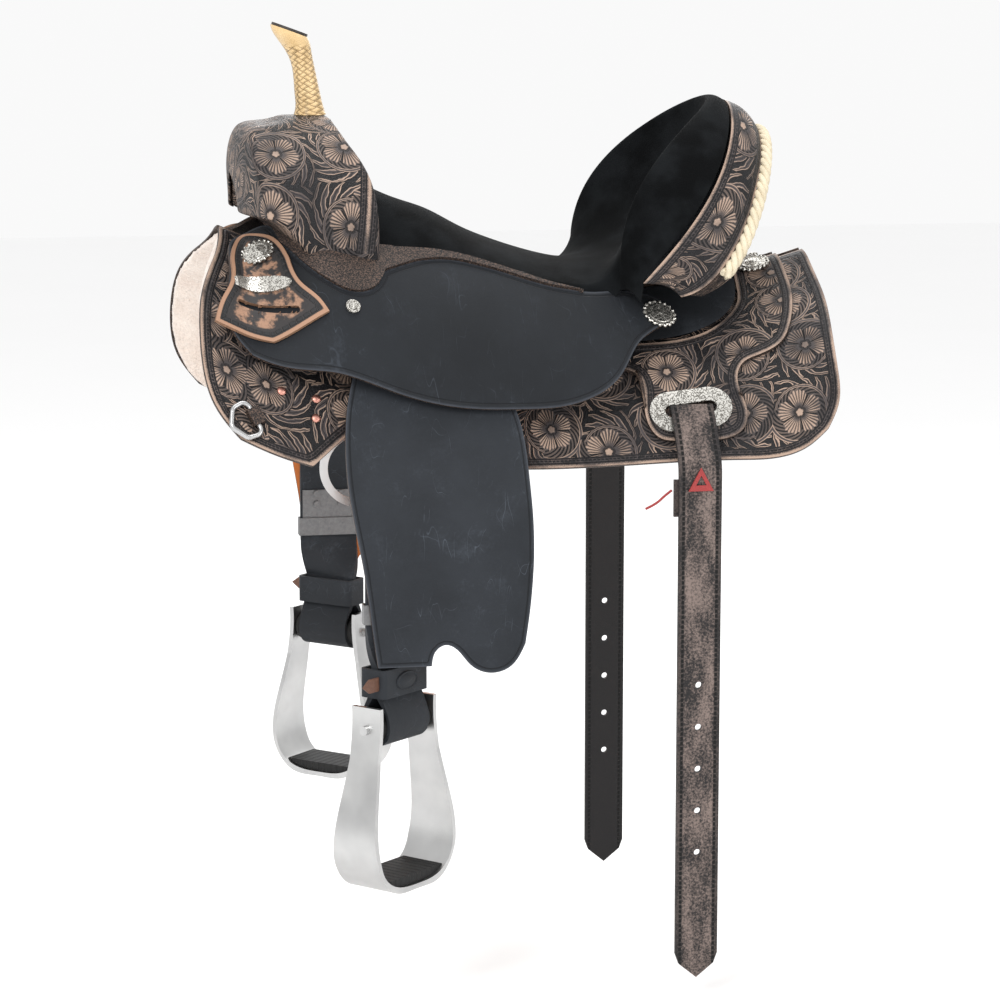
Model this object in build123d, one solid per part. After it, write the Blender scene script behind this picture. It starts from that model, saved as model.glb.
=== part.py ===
from build123d import *
import os
from math import cos, exp, pi, radians, sin, sqrt, tan

# Western barrel saddle. Millimetres. The origin is the lowest point of the underside's
# ridge, on the centre plane. +X points to the cantle, +Z up, and the near side is -Y.

# --- horse-back form: the arch that every skirt layer follows ------------------------
ROCK_RADIUS = 900.0        # the ridge line is an arc of this radius, seen from the side
RIDGE_RADIUS = 55.0        # arch section: round ridge,
RIDGE_SLOPE = 27.0         # then a straight run at this slope,
SHOULDER_RUN = 62.0
RIB_RADIUS = 240.0         # then the round of the ribs
FLANK_SLOPE = 60.0         # down to the straight flank
FLANK_RUN = 110.0
FIT = 0.3                  # clearance between pieces that lie on each other
PATCH_TOLERANCE = 0.08     # how closely a free-form leather face follows its points

# --- leather and pad thicknesses -------------------------------------------------------
FLEECE = 14.0
SKIRT = 4.7
BAR = 10.0
HOUSING = 4.2
JOCKEY = 4.0
KEEPER = 3.8
PLATE = 2.0
SUEDE = 2.2
FOAM = 12.0
GROUND = 8.0
COVER = 3.5
FENDER = 5.0

# --- overall lengths along the saddle ----------------------------------------------------
SKIRT_FRONT = -395.0
SKIRT_REAR = 270.0
SKIRT_DROP = -138.0

# --- seat and cantle -----------------------------------------------------------------------
SEAT_FRONT = -208.0
SEAT_LOW = 10.0            # the lowest place of the seat
SEAT_DEEP = 55.0           # height of the suede there
SEAT_RISE = 137.0          # and against the fork
SEAM_LOW = 36.0            # height of the seam beside the lowest place
SEAM_HIGH = 69.0           # and where it is highest, SEAM_RUN ahead
SEAM_RUN = 165.0
SEAT_HALF_WIDTH = 104.0    # at the fork
SEAT_WIDER = 22.0          # what it gains towards the cantle
CANTLE_TOP = 225.0
CREST = 0.88               # where the seat surface's own coordinate reaches the cantle's crest
BAND = 4.0
ROPE_RADIUS = 5.5

# --- fork and horn -----------------------------------------------------------------------------
FORK_HALF_WIDTH = 140.0
FORK_TOP = 209.0
GULLET_HALF_WIDTH = 46.0
GULLET_TOP = 150.0
HORN_LEAN = 20.0
HORN_CAP_RADIUS = 20.5
RAWHIDE = 2.0

# --- fender, stirrup leather, stirrup ------------------------------------------------------------
FENDER_SLOPE = 62.0
FENDER_OUT = 208.0         # half-width of the fender's face at FENDER_LEVEL
FENDER_LEVEL = -75.0
FENDER_BEND_LEVEL = -162.0
FENDER_BEND_RADIUS = 140.0
FENDER_END = -325.0
STRAP_WIDTH = 64.0
STRAP_PLY = 4.0
STRAP_GAP = 2.3            # room for the buckle sleeve between fender and strap
STRAP_X = -212.0
STIRRUP_TURN = 43.0
STIRRUP_INSET = 22.0       # how far the twisted strap hangs inside the fender's face
ROLLER_RADIUS = 15.0
ROLLER_LEVEL = -388.0
STIRRUP_TOP = -365.0
STIRRUP_BOTTOM = -556.0
STIRRUP_BAND = 5.0
STIRRUP_TOP_HALF = 41.0
STIRRUP_LOW_HALF = 60.0
STIRRUP_TOP_DEPTH = 36.0
STIRRUP_LOW_DEPTH = 58.0
BOLT_RADIUS = 4.7
TREAD = 7.0

# --- billet ----------------------------------------------------------------------------------------
BILLET_WIDTH = 44.5
BILLET_THICK = 5.0
BILLET_X = 105.0
BILLET_END = -676.0
BILLET_HOLE_RADIUS = 3.5
BILLET_HOLE_PITCH = 44.25
BILLET_HOLE_FIRST = -365.0
BILLET_HOLES = 5

# --- hardware ------------------------------------------------------------------------------------------
CONCHO_RADIUS = 18.5
CONCHO_THICK = 3.5
RING_RADIUS = 40.0
RING_BAR = 8.0
RING_THICK = 3.5
DEE_ROD = 2.6


# ========================= arch geometry =========================
A1 = radians(RIDGE_SLOPE)
A2 = radians(FLANK_SLOPE)
P1 = (RIDGE_RADIUS * sin(A1), -RIDGE_RADIUS * (1 - cos(A1)))
P2 = (P1[0] + SHOULDER_RUN * cos(A1), P1[1] - SHOULDER_RUN * sin(A1))
RIB_CENTRE = (P2[0] - RIB_RADIUS * sin(A1), P2[1] - RIB_RADIUS * cos(A1))
P3 = (RIB_CENTRE[0] + RIB_RADIUS * sin(A2), RIB_CENTRE[1] + RIB_RADIUS * cos(A2))
S1 = RIDGE_RADIUS * A1
S2 = S1 + SHOULDER_RUN
S3 = S2 + RIB_RADIUS * (A2 - A1)


def slope_at(s):
    """Slope angle of the arch section at arc length s from the ridge."""
    if s < S1:
        return s / RIDGE_RADIUS
    if s < S2:
        return A1
    return min(A1 + (s - S2) / RIB_RADIUS, A2)


def section_point(s, t):
    """Point (half-width, height) of the arch section, t outside the underside."""
    a = slope_at(s)
    if s < S1:
        return ((RIDGE_RADIUS + t) * sin(a), (RIDGE_RADIUS + t) * cos(a) - RIDGE_RADIUS)
    if s < S2:
        run = s - S1
        return (P1[0] + run * cos(A1) + t * sin(A1), P1[1] - run * sin(A1) + t * cos(A1))
    if s < S3:
        return (RIB_CENTRE[0] + (RIB_RADIUS + t) * sin(a), RIB_CENTRE[1] + (RIB_RADIUS + t) * cos(a))
    run = s - S3
    return (P3[0] + run * cos(A2) + t * sin(A2), P3[1] - run * sin(A2) + t * cos(A2))


def on_form(x, s, t):
    """Near-side point at station x, arc length s and height t above the underside."""
    half, height = section_point(s, t)
    rho = ROCK_RADIUS - height
    return Vector(x, -half, ROCK_RADIUS - sqrt(rho * rho - x * x))


def form_plane(x, z, t):
    """Plane on the near side at (x, z), t above the underside, its normal pointing out."""
    low, high = 0.0, S3 + FLANK_RUN
    for _ in range(40):
        s = (low + high) / 2
        if on_form(x, s, t).Z > z:
            low = s
        else:
            high = s
    here = on_form(x, s, t)
    along = on_form(x + 1, s, t) - here
    down = on_form(x, s + 1, t) - here
    return Plane(origin=here, x_dir=along, z_dir=down.cross(along))


def form_layer(low, high, gap):
    """Near-side shell between two heights above the underside, from gap outwards."""
    start = gap / (RIDGE_RADIUS + low)

    def arc(centre, radius, a, b):
        mid = (a + b) / 2
        ends = [(0, -(centre[0] + radius * sin(q)), centre[1] + radius * cos(q)) for q in (a, mid, b)]
        return Edge.make_three_point_arc(*ends)

    def run(t):
        ridge = arc((0, -RIDGE_RADIUS), RIDGE_RADIUS + t, start, A1)
        rib = arc(RIB_CENTRE, RIB_RADIUS + t, A1, A2)
        end = section_point(S3 + FLANK_RUN, t)
        shoulder = Edge.make_line(ridge @ 1, rib @ 0)
        flank = Edge.make_line(rib @ 1, (0, -end[0], end[1]))
        return [ridge, shoulder, rib, flank]

    outer = run(high)
    inner = run(low)
    ends = [Edge.make_line(outer[0] @ 0, inner[0] @ 0), Edge.make_line(outer[3] @ 1, inner[3] @ 1)]
    face = Face(Wire(outer + inner + ends))
    rock_axis = Axis((0, 0, ROCK_RADIUS), (0, 1, 0))
    face = face.rotate(rock_axis, -31)
    return revolve(face, axis=rock_axis, revolution_arc=62)


def outline_face(runs, y=0.0):
    """Closed face in the XZ plane: a run of two points is a line, a longer one a curve."""
    edges = []
    for points in runs:
        places = [(x, y, z) for x, z in points]
        if len(places) == 2:
            edges.append(Edge.make_line(*places))
        else:
            edges.append(Edge.make_spline(places))
    return Face(Wire(edges))


def side_prism(runs, inner=0.0, outer=420.0):
    """Near-side prism of an XZ outline, from half-width inner to half-width outer."""
    face = outline_face(runs, -inner)
    return extrude(face, amount=outer - inner, dir=(0, -1, 0))


def even_rows(grid, rows):
    """The grid with every column resampled at even steps along its own length."""
    columns = []
    for j in range(len(grid[0])):
        line = [row[j] for row in grid]
        reach = [0.0]
        for p, q in zip(line, line[1:]):
            reach.append(reach[-1] + (q - p).length)
        column = []
        for k in range(rows + 1):
            want = reach[-1] * k / rows
            i = max(n for n in range(len(line) - 1) if reach[n] <= want + 1e-9)
            share = (want - reach[i]) / max(reach[i + 1] - reach[i], 1e-9)
            column.append(line[i] + (line[i + 1] - line[i]) * share)
        columns.append(column)
    return [[columns[j][k] for j in range(len(columns))] for k in range(rows + 1)]


def patch_solid(outer, inner):
    """Closed solid between two point grids of the same size."""
    top = Face.make_surface_from_array_of_points(outer, tol=PATCH_TOLERANCE)
    bottom = Face.make_surface_from_array_of_points(inner, tol=PATCH_TOLERANCE)
    faces = [top, bottom]
    rest = list(bottom.edges())
    for edge in top.edges():
        match = min(rest, key=lambda e: ((e @ 0.5) - (edge @ 0.5)).length)
        rest.remove(match)
        faces.append(Face.make_surface_from_curves(edge, match))
    solid = Solid(Shell(faces))
    if solid.volume < 0:
        solid = Solid(Shell([-face for face in faces]))
    return solid


def offset_grid(grid, depth):
    """The grid moved depth against its own normals; depth is a number or f(i, j)."""
    rows, cols = len(grid), len(grid[0])
    moved = []
    for i in range(rows):
        line = []
        for j in range(cols):
            du = grid[min(i + 1, rows - 1)][j] - grid[max(i - 1, 0)][j]
            dv = grid[i][min(j + 1, cols - 1)] - grid[i][max(j - 1, 0)]
            normal = du.cross(dv).normalized()
            step = depth(i, j) if callable(depth) else depth
            line.append(grid[i][j] - normal * step)
        moved.append(line)
    return moved


def smooth_step(value):
    value = max(0.0, min(1.0, value))
    return value * value * (3 - 2 * value)


def mix(a, b, share):
    return a + (b - a) * share


NODES = {}


def keep(name, shape):
    NODES[name] = shape


def keep_pair(name, shape):
    """A near-side piece and its mirror image on the off side."""
    keep(name + "_near", shape)
    keep(name + "_off", mirror(shape, about=Plane.XZ))


def keep_both(name, shapes):
    """Small near-side pieces and their mirror images, all in one node."""
    solids = [s.solid() for s in shapes]
    keep(name, Compound(children=solids + [mirror(s, about=Plane.XZ) for s in solids]))


# ========================= skirts, fleece, bars =========================
SKIRT_TOP = FLEECE + FIT + SKIRT
SKIRT_OUTLINE = [
    [(-340, 130), (-366, 78), (-383, 53), (SKIRT_FRONT + 3, 30), (SKIRT_FRONT, 5), (SKIRT_FRONT, -23),
     (-384, -67), (-361, -98), (-320, -117), (-290, -127)],
    [(-290, -127), (-258, -104), (-222, -84), (-170, -78), (-120, -90), (-95, -118), (-72, SKIRT_DROP)],
    [(-72, SKIRT_DROP), (40, SKIRT_DROP + 1), (150, SKIRT_DROP + 4), (193, SKIRT_DROP + 6), (223, -122),
     (246, -105), (260, -80), (264, -50), (266, -17), (SKIRT_REAR, 20), (SKIRT_REAR, 45), (266, 130)],
    [(266, 130), (-340, 130)],
]
skirt_prism = side_prism(SKIRT_OUTLINE)
skirt = form_layer(FLEECE + FIT, SKIRT_TOP, 5) & skirt_prism
fleece = form_layer(0, FLEECE, 3) & skirt_prism

BAR_LOW = SKIRT_TOP + FIT
bar_runs = [
    [(-330, 92), (-318, 58), (-250, 20), (-150, -6), (-50, -22), (60, -22), (140, -8), (176, 16), (184, 44)],
    [(184, 44), (140, 42), (60, 30), (-50, 28), (-150, 38), (-250, 62), (-330, 92)],
]
bar = form_layer(BAR_LOW, BAR_LOW + BAR, 34) & side_prism(bar_runs, inner=36)

# ========================= rear housing and flank plate =========================
HOUSING_LOW = SKIRT_TOP + FIT
HOUSING_TOP = HOUSING_LOW + HOUSING
housing_runs = [
    [(240, 110), (240, 48), (237, 20), (226, -4), (212, -22), (185, -35)],
    [(185, -35), (168, -42), (160, -52), (159, -68), (163, -86), (158, -103), (146, -111), (125, -115)],
    [(125, -115), (88, -115)],
    [(88, -115), (68, -111), (59, -98), (58, -80), (60, -64), (54, -51), (40, -47), (10, -44)],
    [(10, -44), (10, -26)],
    [(10, -26), (60, -25), (144, -12), (180, 12), (188, 46)],
    [(188, 46), (192, 110)],
    [(192, 110), (240, 110)],
]
slot_plane = form_plane(BILLET_X, -86, HOUSING_TOP)
slot_length = BILLET_WIDTH + 10.0
slot_height = 14.0
plate_length = 86.0
plate_height = 46.0


def slot_tool(width, height, depth_in, depth_out):
    """Stadium-shaped cutter along the slot plane's normal."""
    face = slot_plane * SlotOverall(width, height)
    return extrude(face, amount=depth_out) + extrude(face, amount=-depth_in)


slot_cut = slot_tool(slot_length, slot_height, 3.0, 20.0)
housing = form_layer(HOUSING_LOW, HOUSING_TOP, 4) & side_prism(housing_runs)
housing = housing - slot_tool(slot_length, slot_height, 40.0, 20.0)
skirt = skirt - slot_tool(slot_length, slot_height, 60.0, 20.0)
plate_face = slot_plane * (SlotOverall(plate_length, plate_height) - SlotOverall(slot_length, slot_height))
plate = form_layer(HOUSING_TOP + FIT, HOUSING_TOP + FIT + PLATE, 4) & extrude(plate_face, amount=20, both=True)

# ========================= seat jockey =========================
JOCKEY_HIGH = 100.0        # height above the underside at the seat's edge
JOCKEY_FALL = 0.29         # what it loses per millimetre down the section
JOCKEY_FRONT_HEIGHT = 34.0


def jockey_height(x, s):
    """Height of the seat jockey's face above the underside."""
    full = JOCKEY_HIGH - JOCKEY_FALL * (s - S2 + 24)
    full = full * (1 - 0.42 * smooth_step((x + 20) / 130))
    return mix(JOCKEY_FRONT_HEIGHT, full, smooth_step((x + 352) / 95))


def jockey_grid(depth):
    grid = []
    for i in range(19):
        x = mix(-395, 125, i / 18)
        line = []
        for j in range(12):
            s = mix(22, S3 + 16, j / 11)
            line.append(on_form(x, s, jockey_height(x, s) - depth))
        grid.append(line)
    return grid


jockey_runs = [
    [(-345, 88), (-358, 66), (-366, 34), (-362, 2), (-345, -19), (-314, -30), (-250, -39), (-203, -57),
     (-151, -71), (-115, -75), (-77, -76), (-14, -70), (30, -47), (55, -18), (78, -6), (94, 6), (92, 16)],
    [(92, 16), (76, 25), (50, 30), (10, 32), (-45, 42), (-95, 57), (-136, 66), (-178, 64), (-205, 58)],
    [(-205, 58), (-214, 46), (-224, 41), (-258, 47), (-285, 66), (-305, 84)],
    [(-305, 84), (-325, 97), (-345, 88)],
]
jockey_outer = jockey_grid(0)
jockey = patch_solid(jockey_outer, jockey_grid(JOCKEY)) & side_prism(jockey_runs, inner=40)


def jockey_plane(x, z, lift=0.0):
    """Plane on the jockey's face at (x, z), its normal pointing out."""
    low, high = 22.0, S3 + 16
    for _ in range(40):
        s = (low + high) / 2
        if on_form(x, s, jockey_height(x, s)).Z > z:
            low = s
        else:
            high = s
    here = on_form(x, s, jockey_height(x, s))
    along = on_form(x + 1, s, jockey_height(x + 1, s)) - here
    down = on_form(x, s + 1, jockey_height(x, s + 1)) - here
    plane = Plane(origin=here, x_dir=along, z_dir=down.cross(along))
    return plane.offset(lift)


# ========================= seat =========================
def seat_centre(x):
    """Height of the suede on the centre plane, from the fork to the lowest place."""
    run = max(0.0, (SEAT_LOW - x) / (SEAT_LOW - SEAT_FRONT))
    rise = 5.0 * exp(-((x - SEAT_LOW + 150) / 30) ** 2)
    return SEAT_DEEP + (SEAT_RISE - SEAT_DEEP) * run ** 1.33 + rise


def seat_edge(x):
    """Height of the seam between suede and seat jockey."""
    return SEAM_LOW + (SEAM_HIGH - SEAM_LOW) * (0.5 - 0.5 * cos(pi * (SEAT_LOW - x) / SEAM_RUN))


def crest(b):
    """Front crest of the cantle for b from 0 at the middle to 1 at the seat's corner."""
    a = abs(b) * pi / 2
    drop = CANTLE_TOP - 51
    x = 42 + 119 * cos(a) ** 1.95
    y = 128 * sin(a)
    z = 51 + drop * cos(a) ** 0.8
    return Vector(x, y if b > 0 else -y, z)


def rim(b):
    """Line where the suede meets the cantle band."""
    a = abs(b) * pi / 2
    x = 58 + 122 * cos(a) ** (0.55 + 0.8 * (1 - cos(a)))
    y = 155 * sin(a) ** 0.95
    z = 41 + (CANTLE_TOP - 44) * cos(a) ** 1.4
    return Vector(x, y if b > 0 else -y, z)


def band_edge(b):
    """Outer edge of the cantle band, over the rope."""
    a = abs(b) * pi / 2
    x = 94 + 122 * cos(a) ** 0.75
    y = 155 * sin(a) ** 0.95
    z = 26 + (CANTLE_TOP - 59) * cos(a) ** 1.6
    return Vector(x, y if b > 0 else -y, z)


def seat_point(a, b):
    """Suede surface: a runs from the fork over the seat (0.5) to the crest (0.88) and rim (1)."""
    if a <= 0.5:
        x = mix(SEAT_FRONT, SEAT_LOW, a / 0.5)
        y = b * (SEAT_HALF_WIDTH + SEAT_WIDER * smooth_step(a / 0.5))
        z = seat_edge(x) + (seat_centre(x) - seat_edge(x)) * (1 - abs(b) ** 2.2)
        return Vector(x, y, z)
    top = crest(b)
    if a <= CREST:
        q = (a - 0.5) / (CREST - 0.5) * pi / 2
        start_y = b * (SEAT_HALF_WIDTH + SEAT_WIDER)
        start_z = seat_edge(SEAT_LOW) + (seat_centre(SEAT_LOW) - seat_edge(SEAT_LOW)) * (1 - abs(b) ** 2.2)
        x = mix(SEAT_LOW, top.X, sin(q) ** 0.92)
        y = mix(start_y, top.Y, 1 - cos(q))
        z = mix(start_z, top.Z, (1 - cos(q)) ** 0.95)
        return Vector(x, y, z)
    end = rim(b)
    q = (a - CREST) / (1 - CREST)
    bulge = 0.16 * (end - top).length * sin(pi * q)
    return top + (end - top) * q + Vector(0, 0, bulge)


def across(j, cols, b1):
    """Place from -b1 to b1 of column j, the columns closing up towards both sides."""
    return b1 * sin(pi * (j / cols - 0.5))


def seat_grid(a0, a1, b1, rows, cols):
    return [[seat_point(mix(a0, a1, i / rows), across(j, cols, b1)) for j in range(cols + 1)]
            for i in range(rows + 1)]


panel_grid = even_rows(seat_grid(0, CREST - 0.02, 0.955, 160, 22), 24)
roll_grid = seat_grid(CREST, 1, 0.97, 6, 22)
seat_cover = Compound(children=[patch_solid(panel_grid, offset_grid(panel_grid, SUEDE)),
                                patch_solid(roll_grid, offset_grid(roll_grid, SUEDE))])

foam_rows, foam_cols = 22, 18
foam_face = even_rows(seat_grid(0.02, 0.79, 0.87, 160, foam_cols), foam_rows)
FOAM_LOW = SUEDE + 1.3     # depth of the foam's top face under the suede's
FOAM_EDGE = 4.0            # foam thickness along its border


def foam_depth(i, j):
    edge = sin(pi * (0.06 + 0.88 * i / foam_rows)) ** 0.4 * sin(pi * (0.06 + 0.88 * j / foam_cols)) ** 0.4
    return FOAM_LOW + FOAM_EDGE + (FOAM - FOAM_EDGE) * edge


seat_foam = patch_solid(offset_grid(foam_face, FOAM_LOW), offset_grid(foam_face, foam_depth))

ground_face = even_rows(seat_grid(0.02, 0.55, 0.86, 100, 14), 16)
ground_depth = FOAM_LOW + FOAM + 2.5
ground_seat = patch_solid(offset_grid(ground_face, ground_depth), offset_grid(ground_face, ground_depth + GROUND))

# ========================= cantle =========================
CANTLE_BASE = 62.0
CORE_REACH = 0.8           # share of the cantle's width that the wooden core fills
core_rows = 12
core_cols = 16


def cantle_back_point(q, b):
    """Back of the cantle: q runs from its base to the band's outer edge."""
    edge = band_edge(b)
    base = Vector(mix(118, 196, cos(b * pi / 2) ** 0.8), edge.Y * 0.86, mix(22, CANTLE_BASE, cos(b * pi / 2)))
    middle = base + (edge - base) * 0.5 + Vector(-7 * cos(b * pi / 2), 0, 0)
    return base * (1 - q) ** 2 + middle * (2 * q * (1 - q)) + edge * q ** 2


core_front = seat_grid(0.64, 0.84, CORE_REACH, 60, core_cols)
core_front = offset_grid(even_rows(core_front, core_rows), FOAM_LOW + FOAM + 4.0)
core_back = [[cantle_back_point(mix(0.08, 0.82, i / core_rows), across(j, core_cols, CORE_REACH))
              + Vector(-COVER - 3, 0, 0) for j in range(core_cols + 1)] for i in range(core_rows + 1)]
cantle_core = patch_solid(core_back, core_front)

back_grid = [[cantle_back_point(mix(0.0, 0.91, i / 8), across(j, 20, 0.95)) for j in range(21)]
             for i in range(9)]
cantle_back = patch_solid(back_grid, [[p + Vector(-COVER, 0, 0) for p in line] for line in back_grid])


def band_point(q, b):
    start = rim(b)
    end = band_edge(b)
    swell = 0.14 * (end - start).length * sin(pi * q)
    out = Vector(0.55, (0.5 if b > 0 else -0.5) * abs(b), 0.75)
    return start + (end - start) * q + out * swell


band_grid = [[band_point(mix(0.08, 0.96, i / 6), across(j, 24, 0.975)) for j in range(25)]
             for i in range(7)]
cantle_band = patch_solid(band_grid, offset_grid(band_grid, BAND))

rope_path = Edge.make_spline([band_edge(mix(-0.8, 0.8, i / 16)) + Vector(6.5, 0, -5.5) for i in range(0, 17, 2)])
rope_profile = Plane(origin=rope_path @ 0, z_dir=rope_path % 0) * Circle(ROPE_RADIUS)
cantle_rope = sweep(rope_profile, path=rope_path)

# ========================= fork =========================
def fork_solid(inset, gullet_grow):
    """Swell of the fork, its faces moved in by inset, with the gullet cut through."""
    w = FORK_HALF_WIDTH - inset
    top = FORK_TOP - inset
    half = [(0, top), (0.3 * w, top - 3), (0.6 * w, top - 20), (0.85 * w, top - 52), (w, top - 100),
            (0.985 * w, top - 135), (0.92 * w, 30)]
    near = [(-y, z) for y, z in reversed(half)]
    outer = Edge.make_spline([(0, y, z) for y, z in near[:-1] + half])
    arch_face = Face(Wire([outer, Edge.make_line(outer @ 1, outer @ 0)]))
    block = extrude(arch_face, amount=400, dir=(-1, 0, 0))
    f = inset
    side = [
        [(-232, 45), (-258, 51), (-285, 70), (-303, 87), (-322, 104)],
        [(-322, 104), (-347 + f, 112)],
        [(-347 + f, 112), (-348 + f, 150), (-346 + f, 176), (-336 + f, 196 - f), (-300, 204 - f),
         (-283, FORK_TOP + 3 - f), (-262, FORK_TOP + 5 - f), (-246 - f, FORK_TOP + 3 - f)],
        [(-246 - f, FORK_TOP + 3 - f), (-237 - f, 189), (-224 - f, 168), (-214 - f, 143), (-210 - f, 108),
         (-211 - f, 66), (-218 - f, 50), (-232, 45)],
    ]
    body = block & extrude(outline_face(side, 200), amount=400, dir=(0, -1, 0))
    g = GULLET_HALF_WIDTH + gullet_grow
    gullet = [(0, -g, -40), (0, -g, 90), (0, -0.72 * g, 132), (0, 0, GULLET_TOP + gullet_grow)]
    gullet_near = Edge.make_spline(gullet[1:])
    gullet_off = gullet_near.mirror(Plane.XZ)
    sides = [Edge.make_line(gullet[0], gullet[1]), Edge.make_line((0, g, -40), (0, g, 90)),
             Edge.make_line((0, g, -40), gullet[0])]
    hole = Face(Wire([gullet_near, gullet_off] + sides))
    return body - extrude(hole, amount=400, dir=(-1, 0, 0))


fork_outer = fork_solid(0, 0)
fork_cover = fork_outer - fork_solid(COVER + 0.4, -12)
fork_core = fork_solid(COVER + 0.8, 0.5)
bar = bar - fork_solid(-FIT, -20)

# ========================= horn =========================
horn_stations = [
    (Vector(-262, 0, FORK_TOP + FIT), 0, 17.0),
    (Vector(-264.5, 0, 232), -3, 13.2),
    (Vector(-268, 0, 256), -5, 11.6),
    (Vector(-271.5, 0, 270), 2, 12.6),
    (Vector(-278, 0, 284), 12, 17.6),
    (Vector(-283, 0, 296), HORN_LEAN, HORN_CAP_RADIUS),
]


def horn_solid(inset):
    sections = []
    for centre, lean, radius in horn_stations:
        plane = Plane(origin=centre, x_dir=(0, 1, 0), z_dir=(sin(radians(lean)), 0, cos(radians(lean))))
        sections.append(plane * Circle(radius - inset))
    return loft(sections)


horn_wrap = horn_solid(0) - horn_solid(RAWHIDE)
horn_core = horn_solid(RAWHIDE)
cap_axis = Vector(sin(radians(HORN_LEAN)), 0, cos(radians(HORN_LEAN)))
cap_plane = Plane(origin=horn_stations[-1][0] + cap_axis * FIT, z_dir=cap_axis)
horn_cap = extrude(cap_plane * Circle(HORN_CAP_RADIUS - 0.8), amount=2.6)

# ========================= latigo keeper =========================
KEEPER_LIFT = 1.2          # the keeper bridges the jockey's curve
keeper_runs = [
    [(-357, 70), (-352, 82), (-338, 91), (-322, 92), (-308, 86), (-301, 73), (-298, 60), (-292, 50)],
    [(-292, 50), (-276, 36), (-268, 24)],
    [(-268, 24), (-324, -6)],
    [(-324, -6), (-381, 16)],
    [(-381, 16), (-372, 36), (-360, 52), (-357, 70)],
]


def keeper_grid(lift):
    return [[on_form(x, s, jockey_height(x, s) + KEEPER_LIFT + lift)
             for s in [mix(22, 190, j / 9) for j in range(10)]]
            for x in [mix(-400, -240, i / 9) for i in range(10)]]


keeper = patch_solid(keeper_grid(KEEPER), keeper_grid(0)) & side_prism(keeper_runs, inner=20)
keeper_slot_plane = jockey_plane(-326, 24)
keeper_slot = extrude(keeper_slot_plane * Rot(0, 0, -6) * SlotOverall(60, 7), amount=20)
keeper = keeper - keeper_slot
OVAL_THICK = 1.6


def on_keeper(plane, face, thick):
    """Plate of the given face that lies on the keeper and follows its curve."""
    layer = patch_solid(keeper_grid(KEEPER + FIT + thick), keeper_grid(KEEPER + FIT))
    return layer & extrude(plane * face, amount=15, both=True)


keeper_plate = on_keeper(jockey_plane(-327, 42), Rot(0, 0, -6) * Ellipse(31, 10.5), OVAL_THICK)

# ========================= conchos, rivets, screws =========================
def concho(plane):
    disc = extrude(plane * Circle(CONCHO_RADIUS), amount=CONCHO_THICK)
    return chamfer(disc.faces().sort_by(Axis((0, 0, 0), plane.z_dir))[-1].edges(), 1.4)


front_concho = on_keeper(jockey_plane(-329, 74), Circle(CONCHO_RADIUS), CONCHO_THICK)
middle_concho = concho(jockey_plane(84, 6, 1.6))
rear_concho = concho(form_plane(211, 46, HOUSING_TOP + 0.8))
rivet_places = [(-317, -56), (-282, -65), (-284, -83)]
rivets = [extrude(form_plane(x, z, SKIRT_TOP + 0.2) * Circle(4.8), amount=1.8) for x, z in rivet_places]
screw_plane = jockey_plane(-243, 26, 0.3)
ferrule = extrude(screw_plane * (Circle(7.5) - Circle(4.4)), amount=2.2)
screw = extrude(screw_plane * Circle(4.0), amount=2.6)

# ========================= breast dee =========================
DEE_X, DEE_Z = -346.5, -78.0
dee_plane = form_plane(DEE_X, DEE_Z, SKIRT_TOP + DEE_ROD + 0.8)
dee_plane = Plane(dee_plane.location * Rot(0, 0, 132))
dee_half = 19.0
dee_bow = 27.0
dee_path = FilletPolyline((-dee_half, 0), (dee_half, 0), (dee_half - 2, dee_bow * 0.62), (0, dee_bow),
                          (2 - dee_half, dee_bow * 0.62), radius=7, close=True)
dee_wire = (dee_plane * dee_path).wire()
dee_profile = Plane(origin=dee_wire @ 0, z_dir=dee_wire % 0) * Circle(DEE_ROD)
breast_dee = sweep(dee_profile, path=dee_wire)
chape_outer = extrude(dee_plane.offset(-DEE_ROD - 0.5) * Pos(0, -1) * Rectangle(18, 13), amount=2 * DEE_ROD + 2.4)
dee_bore = Plane(dee_plane.location * Rot(0, 90, 0)) * Circle(DEE_ROD + 0.3)
dee_chape = chape_outer - extrude(dee_bore, amount=40, both=True)

# ========================= rigging ring =========================
RING_X, RING_Z, RING_Y = -239.0, -136.0, 185.5
ring_plane = Plane(origin=(RING_X, -RING_Y, RING_Z), x_dir=(1, 0, 0), z_dir=(0, -1, 0))
rigging_ring = extrude(ring_plane * (Circle(RING_RADIUS) - Circle(RING_RADIUS - RING_BAR)),
                       amount=RING_THICK / 2, both=True)
ring_top = RING_Z + RING_RADIUS - RING_BAR / 2
CHAPE_WIDTH = 14.0
CHAPE_WALL = 1.5
chape_room = sqrt((RING_BAR / 2) ** 2 + (RING_THICK / 2) ** 2) + 1.0
chape_place = Pos(RING_X, -RING_Y, ring_top)
chape_tab = chape_place * Pos(0, 0, chape_room + 3.7) * Box(CHAPE_WIDTH, 2.4, 7.4)
chape_tube = chape_place * Rot(0, 90, 0) * Cylinder(chape_room + CHAPE_WALL, CHAPE_WIDTH)
rigging_chape = chape_tube + chape_tab - chape_place * Rot(0, 90, 0) * Cylinder(chape_room, 60)
ring_notch = Pos(RING_X, -200, RING_Z + 8) * Box(2 * RING_RADIUS + 14, 200, 2 * RING_RADIUS + 24)
fleece = fleece - ring_notch

# ========================= fender and stirrup leather =========================
FS = radians(FENDER_SLOPE)


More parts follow.
